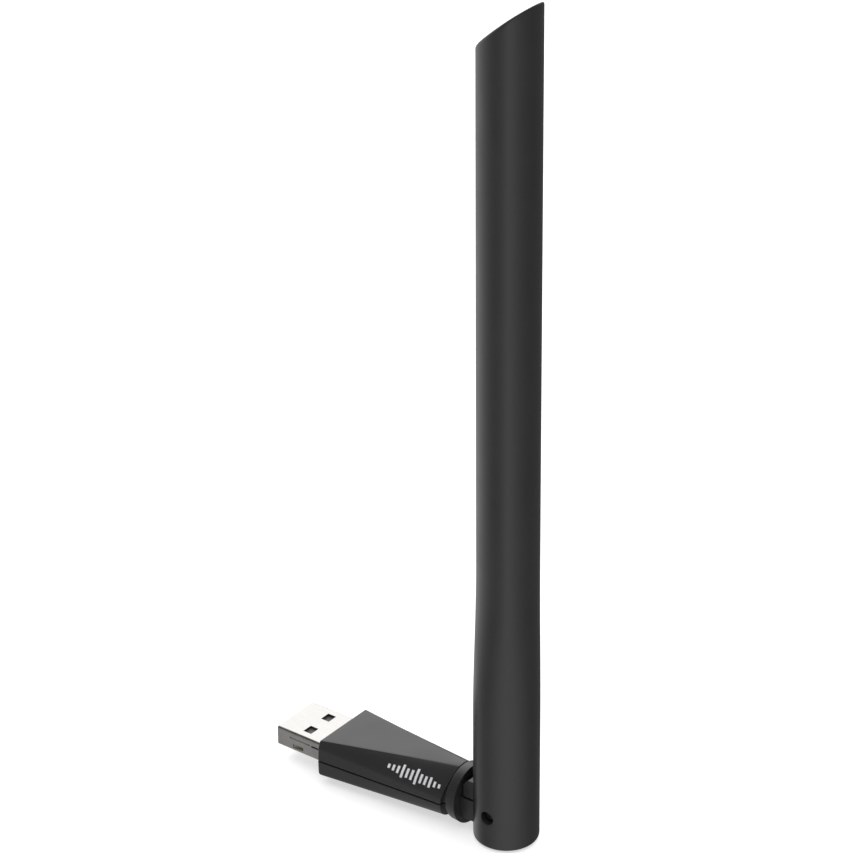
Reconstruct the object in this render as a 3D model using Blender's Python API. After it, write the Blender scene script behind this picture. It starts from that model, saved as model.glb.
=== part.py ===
"""USB Wi-Fi adapter: a clamshell stick with a USB-A plug and a tall antenna on a swivelling, folding knuckle.

The origin is the centre of the plug's mouth. +X runs along the stick to the antenna, +Z is up and the antenna
stands along it at rest. The knuckle swivels about X, and the antenna folds about the hinge pin, along Y.
"""

from math import atan, cos, pi, radians, sin

import bmesh
import bpy
from mathutils import Matrix, Vector

MM = 0.001

# Clearances between neighbouring pieces
GAP = 0.3 * MM
RUNNING_FIT = 0.06 * MM

# USB-A plug
PLUG_WIDTH = 12.0 * MM
PLUG_HEIGHT = 4.5 * MM
PLUG_SHEET = 0.3 * MM
PLUG_CORNER = 0.5 * MM
SHELL_END = 18.6 * MM
WINDOW_X = 6.53 * MM
WINDOW_Y = 2.95 * MM
WINDOW_SIZE = (2.05 * MM, 2.45 * MM)
SIDE_OPENINGS = (
    (3.4 * MM, 8.4 * MM, 0.62 * MM, 0.77 * MM),
    (9.0 * MM, 10.9 * MM, 0.45 * MM, 0.8 * MM),
    (4.15 * MM, 6.8 * MM, -1.45 * MM, -0.6 * MM),
)
TONGUE_START = 0.4 * MM
TONGUE_FACE = 0.1 * MM
CONTACT_YS = (-3.5 * MM, -1.0 * MM, 1.0 * MM, 3.5 * MM)
CONTACT_WIDTH = 1.0 * MM
CONTACT_SHEET = 0.25 * MM
CONTACT_PROUD = 0.02 * MM
OUTER_CONTACT_START = 1.6 * MM
INNER_CONTACT_START = 2.6 * MM

# Housing: a rounded rectangle at the plug, lofted into a circle at the swivel
HOUSING_FRONT = 12.57 * MM
HOUSING_BACK = 44.1 * MM
HOUSING_WALL = 1.2 * MM
FRONT_TOP = 4.35 * MM
FRONT_BOTTOM = -4.0 * MM
FRONT_TOP_HALF = 7.72 * MM
FRONT_HALF = 8.47 * MM
CREASE_Z = 2.85 * MM
CREASE_INSET = 0.2 * MM
FOOT_INSET = 0.1 * MM
TOP_ROUND = 0.28 * MM
EDGE_ROUND = 0.5 * MM
BOTTOM_ROUND = 1.0 * MM
PARTING_Z = -0.2 * MM
SWIVEL_Z = 0.93 * MM
BACK_RADIUS = 6.25 * MM
NECK_RADIUS = 5.4 * MM
NECK_START = 40.0 * MM
FACET_DIP = 0.65 * MM
CORNER_ANGLES = (9, 12)
FACET_ANGLES = (12, 87)
END_X = 43.0 * MM
END_SLANT = 0.17

# Knuckle
SHAFT_RADIUS = 3.2 * MM
FLANGE_RADIUS = 4.3 * MM
FLANGE_X = (39.5 * MM, 40.7 * MM)
END_WALL_X = 41.0 * MM
DISC_X = (44.4 * MM, 46.6 * MM)
DISC_RADIUS = (6.32 * MM, 6.5 * MM)
DISC_CHAMFER = 0.2 * MM
COAX_BORE = 1.0 * MM
EYE_RADIUS = 4.6 * MM
BASE_HALF_WIDTH = 3.85 * MM
COVER_HALF_WIDTH = 3.6 * MM
COVER_CHAMFER = 1.2 * MM
KNUCKLE_PARTING_Z = 2.0 * MM
CHANNEL_FLOOR = 3.75 * MM
CHANNEL_START = 50.0 * MM
WELL_X = (47.4 * MM, 50.6 * MM)
WELL_FLOOR = -0.1 * MM
RISER_END = 51.0 * MM

# Hinge pin
PIN_X = 55.15 * MM
PIN_Z = 1.72 * MM
PIN_RADIUS = 1.0 * MM
PIN_HALF_LENGTH = 5.7 * MM
PIN_RECESS_RADIUS = 1.5 * MM
PIN_RECESS_FLOOR = 5.0 * MM

# Antenna
ANTENNA_BOTTOM = -5.68 * MM
ANTENNA_RADIUS = 6.76 * MM
ANTENNA_TOP_MID = 171.5 * MM
ANTENNA_TOP_SLOPE = 0.85
ANTENNA_BOTTOM_ROUND = 0.9 * MM
ANTENNA_TOP_ROUND = 0.6 * MM
MORPH_Z = (23.0 * MM, 56.0 * MM)
UPPER_SUPPORT = (6.22 * MM, 0.05 * MM, 0.3 * MM, -0.5 * MM)
SLOT_HALF_WIDTH = 4.15 * MM
SLOT_CLEARANCE = 0.3 * MM
ARM_SWEEP_RADIUS = 8.1 * MM
BORE_RADIUS = 4.6 * MM
BORE_Z = (6.0 * MM, 158.0 * MM)
ROUND_SIDES = 48

# Circuit board and coax
BOARD_X = (19.0 * MM, 38.4 * MM)
BOARD_HALF = (6.2 * MM, 4.7 * MM)
BOARD_Z = -0.6 * MM
BOARD_THICKNESS = 1.0 * MM
COAX_RADIUS = 0.56 * MM
CABLE_X = PIN_X + 0.8 * MM

# Antenna strip
STRIP_Z = (14.8 * MM, 146.0 * MM)
STRIP_WIDTH = 6.8 * MM
STRIP_THICKNESS = 0.8 * MM
ELEMENT_SHEET = 0.15 * MM
HOLDER_Z = (10.5 * MM, 14.5 * MM)
FEED_Z = 62.0 * MM


def clear_scene():
    for obj in list(bpy.data.objects):
        bpy.data.objects.remove(obj, do_unlink=True)


def material(name, colour, roughness, metallic=0.0):
    made = bpy.data.materials.new(name)
    made.use_nodes = True
    shader = made.node_tree.nodes["Principled BSDF"]
    shader.inputs["Base Color"].default_value = (*colour, 1.0)
    shader.inputs["Roughness"].default_value = roughness
    shader.inputs["Metallic"].default_value = metallic
    return made


def empty(name, location, parent=None):
    made = bpy.data.objects.new(name, None)
    made.empty_display_size = 5 * MM
    bpy.context.scene.collection.objects.link(made)
    made.parent = parent
    made.location = location
    return made


def make_object(name, bm, finish=None, location=(0, 0, 0), parent=None):
    """Turns a bmesh into an object, with its points given relative to its location."""
    bmesh.ops.recalc_face_normals(bm, faces=bm.faces)
    mesh = bpy.data.meshes.new(name)
    bm.to_mesh(mesh)
    bm.free()
    mesh.shade_smooth()
    mesh.set_sharp_from_angle(angle=radians(30))
    made = bpy.data.objects.new(name, mesh)
    bpy.context.scene.collection.objects.link(made)
    made.parent = parent
    made.location = location
    if finish:
        mesh.materials.append(finish)
    return made


def loft(rings):
    """A closed skin through rings of equal length, capped at both ends."""
    bm = bmesh.new()
    rows = [[bm.verts.new(point) for point in ring] for ring in rings]
    count = len(rows[0])
    for low, high in zip(rows, rows[1:]):
        for i in range(count):
            j = (i + 1) % count
            bm.faces.new((low[i], low[j], high[j], high[i]))
    bm.faces.new(rows[0][::-1])
    bm.faces.new(rows[-1])
    return bm


def box_mesh(low, high):
    size = Vector(high) - Vector(low)
    middle = (Vector(high) + Vector(low)) / 2
    bm = bmesh.new()
    bmesh.ops.create_cube(bm, size=1.0, matrix=Matrix.Translation(middle) @ Matrix.Diagonal((*size, 1)))
    return bm


def box(name, low, high, finish, bevel=0.0, parent=None, location=(0, 0, 0)):
    """A block between two corners given in world coordinates, with rounded edges if bevel is set."""
    offset = Vector(location)
    if parent:
        offset = offset + parent.matrix_world.translation
    made = make_object(name, box_mesh(Vector(low) - offset, Vector(high) - offset), finish, location, parent)
    if bevel:
        rounding = made.modifiers.new("edge rounding", "BEVEL")
        rounding.width = bevel
        rounding.segments = 2
    return made


def rod_mesh(radius, start, end, sides=32):
    """A round bar from start to end."""
    start = Vector(start)
    end = Vector(end)
    turn = (end - start).to_track_quat("Z", "Y").to_matrix().to_4x4()
    place = Matrix.Translation((start + end) / 2) @ turn
    bm = bmesh.new()
    bmesh.ops.create_cone(
        bm,
        cap_ends=True,
        segments=sides,
        radius1=radius,
        radius2=radius,
        depth=(end - start).length,
        matrix=place,
    )
    return bm


def turned_mesh(profile, axis_z, sides=ROUND_SIDES):
    """A body turned about the line along X at height axis_z; profile holds (x, radius) pairs."""
    rings = []
    for x, radius in profile:
        angles = [2 * pi * i / sides for i in range(sides)]
        rings.append([(x, radius * cos(a), axis_z + radius * sin(a)) for a in angles])
    return loft(rings)


def apply_boolean(target, tool_mesh, operation="DIFFERENCE"):
    """Cuts or joins in a helper shape given in world coordinates, and keeps the result on the target."""
    tool = make_object("tool", tool_mesh)
    cut = target.modifiers.new("cut", "BOOLEAN")
    cut.operation = operation
    cut.object = tool
    bpy.context.view_layer.update()
    graph = bpy.context.evaluated_depsgraph_get()
    result = bpy.data.meshes.new_from_object(target.evaluated_get(graph))
    target.modifiers.remove(cut)
    materials = list(target.data.materials)
    old = target.data
    target.data = result
    result.materials.clear()
    for entry in materials:
        result.materials.append(entry)
    bpy.data.meshes.remove(old)
    bpy.data.objects.remove(tool, do_unlink=True)
    target.data.shade_smooth()
    target.data.set_sharp_from_angle(angle=radians(30))


def rounded_rectangle(half_width, half_height, radius, steps=3):
    """Points (y, z) of a rectangle with round corners."""
    points = []
    centres = ((1, 1), (-1, 1), (-1, -1), (1, -1))
    for quarter, (side, up) in enumerate(centres):
        for step in range(steps + 1):
            angle = pi / 2 * (quarter + step / steps)
            y = side * (half_width - radius) + radius * cos(angle)
            z = up * (half_height - radius) + radius * sin(angle)
            points.append((y, z))
    return points


def build_plug(metal, black, gold):
    """The folded steel shell, the insulator inside it and the four contacts in its grooves."""
    half_width = PLUG_WIDTH / 2
    half_height = PLUG_HEIGHT / 2
    outline = rounded_rectangle(half_width, half_height, PLUG_CORNER)
    hollow = rounded_rectangle(half_width - PLUG_SHEET, half_height - PLUG_SHEET, PLUG_CORNER - PLUG_SHEET)
    shell = make_object("usb_shell", loft([[(x, y, z) for y, z in outline] for x in (0, SHELL_END)]), metal)
    apply_boolean(shell, loft([[(x, y, z) for y, z in hollow] for x in (-1 * MM, SHELL_END + 1 * MM)]))
    for side in (-1, 1):
        half_x = WINDOW_SIZE[0] / 2
        half_y = WINDOW_SIZE[1] / 2
        low = (WINDOW_X - half_x, side * WINDOW_Y - half_y, -PLUG_HEIGHT)
        high = (WINDOW_X + half_x, side * WINDOW_Y + half_y, PLUG_HEIGHT)
        apply_boolean(shell, box_mesh(low, high))
        wall = sorted((side * (half_width - 0.8 * MM), side * (half_width + 1 * MM)))
        for x0, x1, z0, z1 in SIDE_OPENINGS:
            apply_boolean(shell, box_mesh((x0, wall[0], z0), (x1, wall[1], z1)))

    back = half_height - PLUG_SHEET - GAP
    width = half_width - PLUG_SHEET - GAP
    low = (TONGUE_START, -width, TONGUE_FACE)
    tongue = box("usb_tongue", low, (SHELL_END - 2 * GAP, width, back), black)
    groove_floor = TONGUE_FACE + CONTACT_SHEET + GAP
    for number, y in enumerate(CONTACT_YS, 1):
        half_groove = CONTACT_WIDTH / 2 + GAP
        start = OUTER_CONTACT_START if number in (1, 4) else INNER_CONTACT_START
        groove_start = OUTER_CONTACT_START - GAP
        low = (groove_start, y - half_groove, -MM)
        high = (SHELL_END + MM, y + half_groove, groove_floor)
        apply_boolean(tongue, box_mesh(low, high))
        low = (start, y - CONTACT_WIDTH / 2, TONGUE_FACE - CONTACT_PROUD)
        high = (SHELL_END - 0.2 * MM, y + CONTACT_WIDTH / 2, TONGUE_FACE + CONTACT_SHEET)
        box(f"usb_contact_{number}", low, high, gold)


def housing_half_profile(inset):
    """Front section and matching back angles for one side, from the top centre down to the bottom centre.

    Each stretch is a straight piece of the front section, its first and last back angle in degrees, and
    its steps.
    """
    top = FRONT_TOP - inset
    bottom = FRONT_BOTTOM + inset
    shoulder = FRONT_TOP_HALF - inset
    widest = FRONT_HALF - inset
    edge = max(TOP_ROUND - inset / 2, 0.1 * MM)
    foot = max(BOTTOM_ROUND - inset / 2, 0.3 * MM)
    corner_start, corner_end = CORNER_ANGLES
    corner_steps = 3
    turn = (corner_end - corner_start) / corner_steps
    stretches = [((0, top), (shoulder - edge, top), 0, corner_start, 2)]
    for step in range(corner_steps):
        a0 = radians(90 - 26 * step)
        a1 = radians(90 - 26 * (step + 1))
        centre = (shoulder - edge, top - edge)
        p0 = (centre[0] + edge * cos(a0), centre[1] + edge * sin(a0))
        p1 = (centre[0] + edge * cos(a1), centre[1] + edge * sin(a1))
        stretches.append((p0, p1, corner_start + turn * step, corner_start + turn * (step + 1), 1))
    crease = (widest - CREASE_INSET, CREASE_Z - inset / 2)
    parting = (widest, PARTING_Z)
    low_side = (widest - FOOT_INSET, bottom + foot)
    stretches.append((stretches[-1][1], crease, *FACET_ANGLES, 9))
    stretches.append((crease, parting, FACET_ANGLES[1], 100.5, 2))
    stretches.append((parting, low_side, 100.5, 124, 3))
    for step in range(4):
        a0 = radians(-22.5 * step)
        a1 = radians(-22.5 * (step + 1))
        centre = (low_side[0] - foot, bottom + foot)
        p0 = (centre[0] + foot * cos(a0), centre[1] + foot * sin(a0))
        p1 = (centre[0] + foot * cos(a1), centre[1] + foot * sin(a1))
        stretches.append((p0, p1, 124 + 5 * step, 129 + 5 * step, 1))
    stretches.append((stretches[-1][1], (0, bottom), 144, 180, 5))
    pairs = []
    for (y0, z0), (y1, z1), angle0, angle1, count in stretches:
        for i in range(count):
            share = i / count
            front = (y0 + (y1 - y0) * share, z0 + (z1 - z0) * share)
            pairs.append((front, radians(angle0 + (angle1 - angle0) * share)))
    pairs.append(((0, bottom), pi))
    return pairs


def back_radius(angle, inset):
    """The circle at the swivel, a little flattened where the two upper side facets run out."""
    first, last = (radians(limit) for limit in FACET_ANGLES)
    share = min(max((angle - first) / (last - first), 0), 1)
    return BACK_RADIUS - inset - FACET_DIP * sin(pi * share)


def housing_ring(x, inset=0.0, shrink=0.0):
    """One closed section of the housing at x; shrink pulls it in for a rounded front edge."""
    share = (x - HOUSING_FRONT) / (HOUSING_BACK - HOUSING_FRONT)
    half = []
    for (front_y, front_z), angle in housing_half_profile(inset):
        radius = back_radius(angle, inset)
        front_y *= 1 - shrink / FRONT_HALF
        front_z *= 1 - shrink / FRONT_TOP
        back_y = radius * sin(angle)
        back_z = SWIVEL_Z + radius * cos(angle)
        half.append((front_y + (back_y - front_y) * share, front_z + (back_z - front_z) * share))
    other = [(-y, z) for y, z in half[-2:0:-1]]
    return [(x, y, z) for y, z in half + other]


def housing_solid():
    """The whole outer form before it is hollowed and split."""
    rings = []
    for step in range(4):
        angle = radians(30 * step)
        x = HOUSING_FRONT + EDGE_ROUND * (1 - sin(angle))
        rings.append(housing_ring(x, shrink=EDGE_ROUND * (1 - cos(angle))))
    rings.reverse()
    start = HOUSING_FRONT + EDGE_ROUND
    body_steps = 6
    for step in range(1, body_steps + 1):
        rings.append(housing_ring(start + (HOUSING_BACK - start) * step / body_steps))
    return loft(rings)


def housing_shell(name, keep_above, finish):
    """One half of the clamshell: outer form, neck, hollow, plug opening and bore, cut at the parting."""
    shell = make_object(name, housing_solid(), finish)
    slant = Matrix.Rotation(-atan(END_SLANT), 4, "Y")
    end = box_mesh((0, -20 * MM, -20 * MM), (20 * MM, 20 * MM, 20 * MM))
    end.transform(Matrix.Translation((END_X, 0, PARTING_Z)) @ slant.inverted())
    apply_boolean(shell, end)
    neck = turned_mesh([(NECK_START, NECK_RADIUS), (HOUSING_BACK, NECK_RADIUS)], SWIVEL_Z)
    apply_boolean(shell, neck, "UNION")
    hollow_rings = []
    hollow_start = HOUSING_FRONT + HOUSING_WALL
    hollow_steps = 3
    for step in range(hollow_steps + 1):
        x = hollow_start + (END_WALL_X - hollow_start) * step / hollow_steps
        hollow_rings.append(housing_ring(x, inset=HOUSING_WALL))
    apply_boolean(shell, loft(hollow_rings))
    half_width = PLUG_WIDTH / 2 + GAP
    half_height = PLUG_HEIGHT / 2 + GAP
    opening = rounded_rectangle(half_width, half_height, PLUG_CORNER + GAP)
    rings = [[(x, y, z) for y, z in opening] for x in (HOUSING_FRONT - MM, HOUSING_FRONT + 2 * MM)]
    apply_boolean(shell, loft(rings))
    bore = SHAFT_RADIUS + RUNNING_FIT
    bore_profile = [(END_WALL_X - MM, bore), (HOUSING_BACK + MM, bore)]
    apply_boolean(shell, turned_mesh(bore_profile, SWIVEL_Z, 32))
    reach = 60 * MM
    if keep_above:
        off = box_mesh((-reach, -reach, -reach), (reach, reach, PARTING_Z + GAP / 2))
    else:
        off = box_mesh((-reach, -reach, PARTING_Z - GAP / 2), (reach, reach, reach))
    apply_boolean(shell, off)
    return shell


def build_board(green, chip_black, can_metal, ceramic, ferrite):
    """The circuit board with its radio chip, crystal, regulator, inductor and capacitors."""
    x0, x1 = BOARD_X
    corners = [(x0, -BOARD_HALF[0]), (x1, -BOARD_HALF[1]), (x1, BOARD_HALF[1]), (x0, BOARD_HALF[0])]
    heights = (BOARD_Z, BOARD_Z + BOARD_THICKNESS)
    make_object("circuit_board", loft([[(x, y, z) for x, y in corners] for z in heights]), green)
    seat = BOARD_Z + BOARD_THICKNESS + GAP
    parts = (
        ("radio_chip", 27.5, 0.0, 5.0, 5.0, 0.85, chip_black),
        ("crystal", 32.6, 2.4, 3.2, 2.5, 0.7, can_metal),
        ("power_regulator", 22.0, -3.6, 2.9, 1.6, 1.1, chip_black),
        ("power_inductor", 22.2, 0.6, 2.5, 2.0, 1.2, ferrite),
        ("capacitor_1", 22.0, 3.8, 2.0, 1.25, 0.9, ceramic),
        ("capacitor_2", 27.5, 4.1, 1.6, 0.8, 0.8, ceramic),
        ("capacitor_3", 27.5, -4.1, 1.6, 0.8, 0.8, ceramic),
        ("capacitor_4", 32.6, -2.6, 1.6, 0.8, 0.8, ceramic),
    )
    for name, x, y, length, width, height, finish in parts:
        low = ((x - length / 2) * MM, (y - width / 2) * MM, seat)
        high = ((x + length / 2) * MM, (y + width / 2) * MM, seat + height * MM)
        box(name, low, high, finish)


def knuckle_side(low_z, high_z, back_x, upper, steps=12):
    """Outline (x, z) of one knuckle half: a straight stem that ends in half an eye round the pin."""
    limit = (low_z if upper else high_z) - PIN_Z
    first = atan(limit / (EYE_RADIUS**2 - limit**2) ** 0.5)
    last = pi / 2 if upper else -pi / 2
    arc = [first + (last - first) * i / steps for i in range(steps + 1)]
    outline = [(back_x, low_z), (back_x, high_z)]
    if upper:
        arc.reverse()
        outline = [(back_x, low_z), (back_x, high_z - COVER_CHAMFER), (back_x + COVER_CHAMFER, high_z)]
    return outline + [(PIN_X + EYE_RADIUS * cos(a), PIN_Z + EYE_RADIUS * sin(a)) for a in arc]


def knuckle_half_mesh(outline, half_width, origin):
    rings = []
    for y in (-half_width, half_width):
        rings.append([(x - origin.x, y - origin.y, z - origin.z) for x, z in outline])
    return loft(rings)


def build_knuckle(swivel, finish):
    """The turned shaft and disc with the lower stem, and the cover that closes the cable channel over it."""
    origin = swivel.matrix_world.translation
    turned = [
        (FLANGE_X[0], FLANGE_RADIUS),
        (FLANGE_X[1], FLANGE_RADIUS),
        (FLANGE_X[1], SHAFT_RADIUS),
        (DISC_X[0], SHAFT_RADIUS),
        (DISC_X[0], DISC_RADIUS[0] - DISC_CHAMFER),
        (DISC_X[0] + DISC_CHAMFER, DISC_RADIUS[0]),
        (DISC_X[1] - DISC_CHAMFER, DISC_RADIUS[1]),
        (DISC_X[1], DISC_RADIUS[1] - DISC_CHAMFER),
    ]
    profile = [(x - origin.x, radius) for x, radius in turned]
    base = make_object("knuckle_base", turned_mesh(profile, SWIVEL_Z - origin.z), finish, parent=swivel)
    zero = Vector((0, 0, 0))
    lower = knuckle_side(PIN_Z - EYE_RADIUS, KNUCKLE_PARTING_Z - GAP / 2, DISC_X[1] - MM, False)
    apply_boolean(base, knuckle_half_mesh(lower, BASE_HALF_WIDTH, zero), "UNION")
    upper = knuckle_side(KNUCKLE_PARTING_Z + GAP / 2, PIN_Z + EYE_RADIUS, DISC_X[1] + GAP, True)
    cover_mesh = knuckle_half_mesh(upper, COVER_HALF_WIDTH, origin)
    cover = make_object("knuckle_cover", cover_mesh, finish, parent=swivel)

    reach = 10 * MM
    pin_bore = PIN_RADIUS + RUNNING_FIT
    for half in (base, cover):
        apply_boolean(half, rod_mesh(pin_bore, (PIN_X, -reach, PIN_Z), (PIN_X, reach, PIN_Z)))
    bore_ends = ((FLANGE_X[0] - MM, 0, SWIVEL_Z), (DISC_X[1] + 2.4 * MM, 0, SWIVEL_Z))
    apply_boolean(base, rod_mesh(COAX_BORE, *bore_ends, sides=16))
    well = box_mesh((WELL_X[0], -COAX_BORE, WELL_FLOOR), (WELL_X[1], COAX_BORE, reach))
    apply_boolean(base, well)
    riser = box_mesh((WELL_X[0], -COAX_BORE, 0), (RISER_END, COAX_BORE, reach))
    apply_boolean(cover, riser)
    channel = box_mesh((CHANNEL_START, -COAX_BORE, CHANNEL_FLOOR), (PIN_X + reach, COAX_BORE, reach))
    apply_boolean(cover, channel)


def antenna_ring(z, inset=0.0):
    """A section of the antenna at height z: a circle low down, a soft triangle higher up.

    Each point is h*n + h'*t for the support function h = a0 + a1 cos + a2 cos 2 + a3 cos 3 of the angle
    of the normal.
    """
    share = min(max((z - MORPH_Z[0]) / (MORPH_Z[1] - MORPH_Z[0]), 0), 1)
    share = share * share * (3 - 2 * share)
    circle = (ANTENNA_RADIUS, 0, 0, 0)
    terms = [low + (high - low) * share for low, high in zip(circle, UPPER_SUPPORT)]
    points = []
    for i in range(ROUND_SIDES):
        angle = 2 * pi * i / ROUND_SIDES
        reach = sum(term * cos(k * angle) for k, term in enumerate(terms)) - inset
        slide = -sum(k * term * sin(k * angle) for k, term in enumerate(terms))
        x = reach * cos(angle) - slide * sin(angle)
        y = reach * sin(angle) + slide * cos(angle)
        points.append((x, y, z - PIN_Z))
    return points


def build_sleeve(fold, finish):
    """The moulded sleeve: outer form, slanted rounded top, long bore, fork slot and pin holes."""
    rings = []
    for step in range(4):
        angle = radians(30 * step)
        z = ANTENNA_BOTTOM + ANTENNA_BOTTOM_ROUND * (1 - sin(angle))
        rings.insert(0, antenna_ring(z, inset=ANTENNA_BOTTOM_ROUND * (1 - cos(angle))))
    morph_steps = 9
    for step in range(morph_steps + 1):
        rings.append(antenna_ring(MORPH_Z[0] + (MORPH_Z[1] - MORPH_Z[0]) * step / morph_steps))
    rings.append(antenna_ring(110 * MM))
    rings.append(antenna_ring(190 * MM))
    bm = loft(rings)
    normal = Vector((-ANTENNA_TOP_SLOPE, 0, 1)).normalized()
    middle = Vector((0, 0, ANTENNA_TOP_MID - PIN_Z))
    geometry = bm.verts[:] + bm.edges[:] + bm.faces[:]
    cut = bmesh.ops.bisect_plane(bm, geom=geometry, plane_co=middle, plane_no=normal, clear_outer=True)
    rim = [item for item in cut["geom_cut"] if isinstance(item, bmesh.types.BMEdge)]
    bmesh.ops.contextual_create(bm, geom=rim)
    bmesh.ops.bevel(bm, geom=rim, offset=ANTENNA_TOP_ROUND, segments=3, affect="EDGES", profile=0.5)
    sleeve = make_object("antenna_sleeve", bm, finish, parent=fold)

    bore_low, bore_high = BORE_Z
    apply_boolean(sleeve, rod_mesh(BORE_RADIUS, (PIN_X, 0, bore_low), (PIN_X, 0, bore_high)))
    slot = EYE_RADIUS + SLOT_CLEARANCE
    half = SLOT_HALF_WIDTH
    far = 20 * MM
    apply_boolean(sleeve, rod_mesh(slot, (PIN_X, -half, PIN_Z), (PIN_X, half, PIN_Z), sides=ROUND_SIDES))
    apply_boolean(sleeve, box_mesh((PIN_X - far, -half, PIN_Z - far), (PIN_X, half, PIN_Z + slot)))
    apply_boolean(sleeve, box_mesh((PIN_X - MM, -half, PIN_Z - far), (PIN_X + slot, half, PIN_Z)))
    corner = box_mesh((PIN_X - far, -far, PIN_Z - far), (PIN_X, far, PIN_Z))
    quadrant = make_object("quadrant", corner)
    swept = rod_mesh(ARM_SWEEP_RADIUS, (PIN_X, -2 * far, PIN_Z), (PIN_X, 2 * far, PIN_Z), sides=96)
    apply_boolean(quadrant, swept)
    sweep = bmesh.new()
    sweep.from_mesh(quadrant.data)
    bpy.data.objects.remove(quadrant, do_unlink=True)
    apply_boolean(sleeve, sweep)
    hole = PIN_RADIUS + RUNNING_FIT
    apply_boolean(sleeve, rod_mesh(hole, (PIN_X, -far, PIN_Z), (PIN_X, far, PIN_Z)))
    for side in (-1, 1):
        low = (PIN_X, side * PIN_RECESS_FLOOR, PIN_Z)
        high = (PIN_X, side * far, PIN_Z)
        apply_boolean(sleeve, rod_mesh(PIN_RECESS_RADIUS, low, high))


def build_antenna(fold, finish, steel, board, copper, white):
    """The sleeve on its hinge pin, and the printed strip, its copper arms and its holder inside the bore."""
    build_sleeve(fold, finish)
    ends = ((0, -PIN_HALF_LENGTH, 0), (0, PIN_HALF_LENGTH, 0))
    make_object("hinge_pin", rod_mesh(PIN_RADIUS, *ends), steel, parent=fold)

    holder = rod_mesh(BORE_RADIUS - GAP, (0, 0, HOLDER_Z[0] - PIN_Z), (0, 0, HOLDER_Z[1] - PIN_Z))
    holder = make_object("strip_holder", holder, white, parent=fold)
    cable_hole = rod_mesh(COAX_RADIUS + GAP, (CABLE_X, 0, 0), (CABLE_X, 0, 20 * MM), sides=16)
    apply_boolean(holder, cable_hole)

    strip_y = COAX_RADIUS + GAP
    half = STRIP_WIDTH / 2
    low = (PIN_X - half, strip_y, STRIP_Z[0])
    high = (PIN_X + half, strip_y + STRIP_THICKNESS, STRIP_Z[1])
    box("antenna_strip", low, high, board, parent=fold)
    element_y = strip_y + STRIP_THICKNESS + GAP
    arms = (("element_lower", 30.0 * MM, FEED_Z - 1 * MM), ("element_upper", FEED_Z + 1 * MM, 93.0 * MM))
    for name, z0, z1 in arms:
        low = (PIN_X - half + MM, element_y, z0)
        high = (PIN_X + half - MM, element_y + ELEMENT_SHEET, z1)
        box(name, low, high, copper, parent=fold)


def coax(name, route, finish, parent=None):
    """A stretch of the thin coax, smoothly bent through its route's points, in world coordinates."""
    offset = parent.matrix_world.translation if parent else Vector((0, 0, 0))
    points = [Vector((x, y, z)) * MM for x, y, z in route]
    path = []
    for i in range(len(points) - 1):
        before = points[max(i - 1, 0)]
        start = points[i]
        end = points[i + 1]
        after = points[min(i + 2, len(points) - 1)]
        for step in range(4):
            t = step / 4
            blend = (
                2 * start
                + (end - before) * t
                + (2 * before - 5 * start + 4 * end - after) * t**2
                + (3 * start - before - 3 * end + after) * t**3
            )
            path.append(blend / 2)
    path.append(points[-1])
    curve = bpy.data.curves.new(name, "CURVE")
    curve.dimensions = "3D"
    curve.bevel_depth = COAX_RADIUS
    curve.bevel_resolution = 2
    curve.use_fill_caps = True
    spline = curve.splines.new("POLY")
    spline.points.add(len(path) - 1)
    for target, point in zip(spline.points, path):
        target.co = (*(point - offset), 1)
    curve.materials.append(finish)
    made = bpy.data.objects.new(name, curve)
    bpy.context.scene.collection.objects.link(made)
    made.parent = parent


def main():
    clear_scene()
    satin_black = material("satin black plastic", (0.022, 0.022, 0.023), 0.42)
    plug_steel = material("nickel plated steel", (0.72, 0.71, 0.69), 0.28, 1.0)
    insulator = material("insulator plastic", (0.03, 0.03, 0.03), 0.55)
    gold = material("gold plating", (0.83, 0.62, 0.27), 0.25, 1.0)
    green = material("board green", (0.02, 0.13, 0.06), 0.45)
    chip = material("chip epoxy", (0.03, 0.03, 0.032), 0.6)
    can = material("tin can", (0.65, 0.65, 0.64), 0.35, 1.0)
    ceramic = material("capacitor ceramic", (0.42, 0.30, 0.20), 0.55)
    ferrite = material("ferrite", (0.09, 0.09, 0.09), 0.7)
    pin_steel = material("pin steel", (0.25, 0.25, 0.25), 0.45, 1.0)
    copper = material("copper foil", (0.72, 0.40, 0.25), 0.35, 1.0)
    white = material("white nylon", (0.75, 0.74, 0.70), 0.5)
    jacket = material("coax jacket", (0.06, 0.06, 0.06), 0.5)

    swivel = empty("swivel_axis", (PIN_X, 0, SWIVEL_Z))
    bpy.context.view_layer.update()
    fold = empty("fold_axis", (0, 0, PIN_Z - SWIVEL_Z), swivel)
    bpy.context.view_layer.update()

    build_plug(plug_steel, insulator, gold)
    housing_shell("housing_top", True, satin_black)
    housing_shell("housing_bottom", False, satin_black)
    build_board(green, chip, can, ceramic, ferrite)
    build_knuckle(swivel, satin_black)
    build_antenna(fold, satin_black, pin_steel, green, copper, white)

    coax("coax_in_housing", [(35.6, 0, 1.26), (37.4, 0, 1.26), (39.6, 0, 0.93), (43.8, 0, 0.93)], jacket)
    cable_x = CABLE_X / MM
    hinge_route = [
        (44.1, 0, 0.93),
        (46.6, 0, 0.93),
        (48.3, 0, 1.5),
        (49.4, 0, 3.2),
        (50.6, 0, 4.6),
        (52.4, 0, 5.0),
        (54.4, 0, 5.4),
        (55.65, 0, 6.8),
        (cable_x, 0, 9.4),
    ]
    coax("coax_at_hinge", hinge_route, jacket, swivel)
    antenna_route = [(cable_x, 0, 9.7), (cable_x, 0, 30), (cable_x, 0, FEED_Z / MM)]
    coax("coax_in_antenna", antenna_route, jacket, fold)


main()
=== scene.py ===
from math import acos, atan, cos, hypot, pi, radians, sin

import bmesh
import bpy
from mathutils import Matrix, Vector


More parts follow.
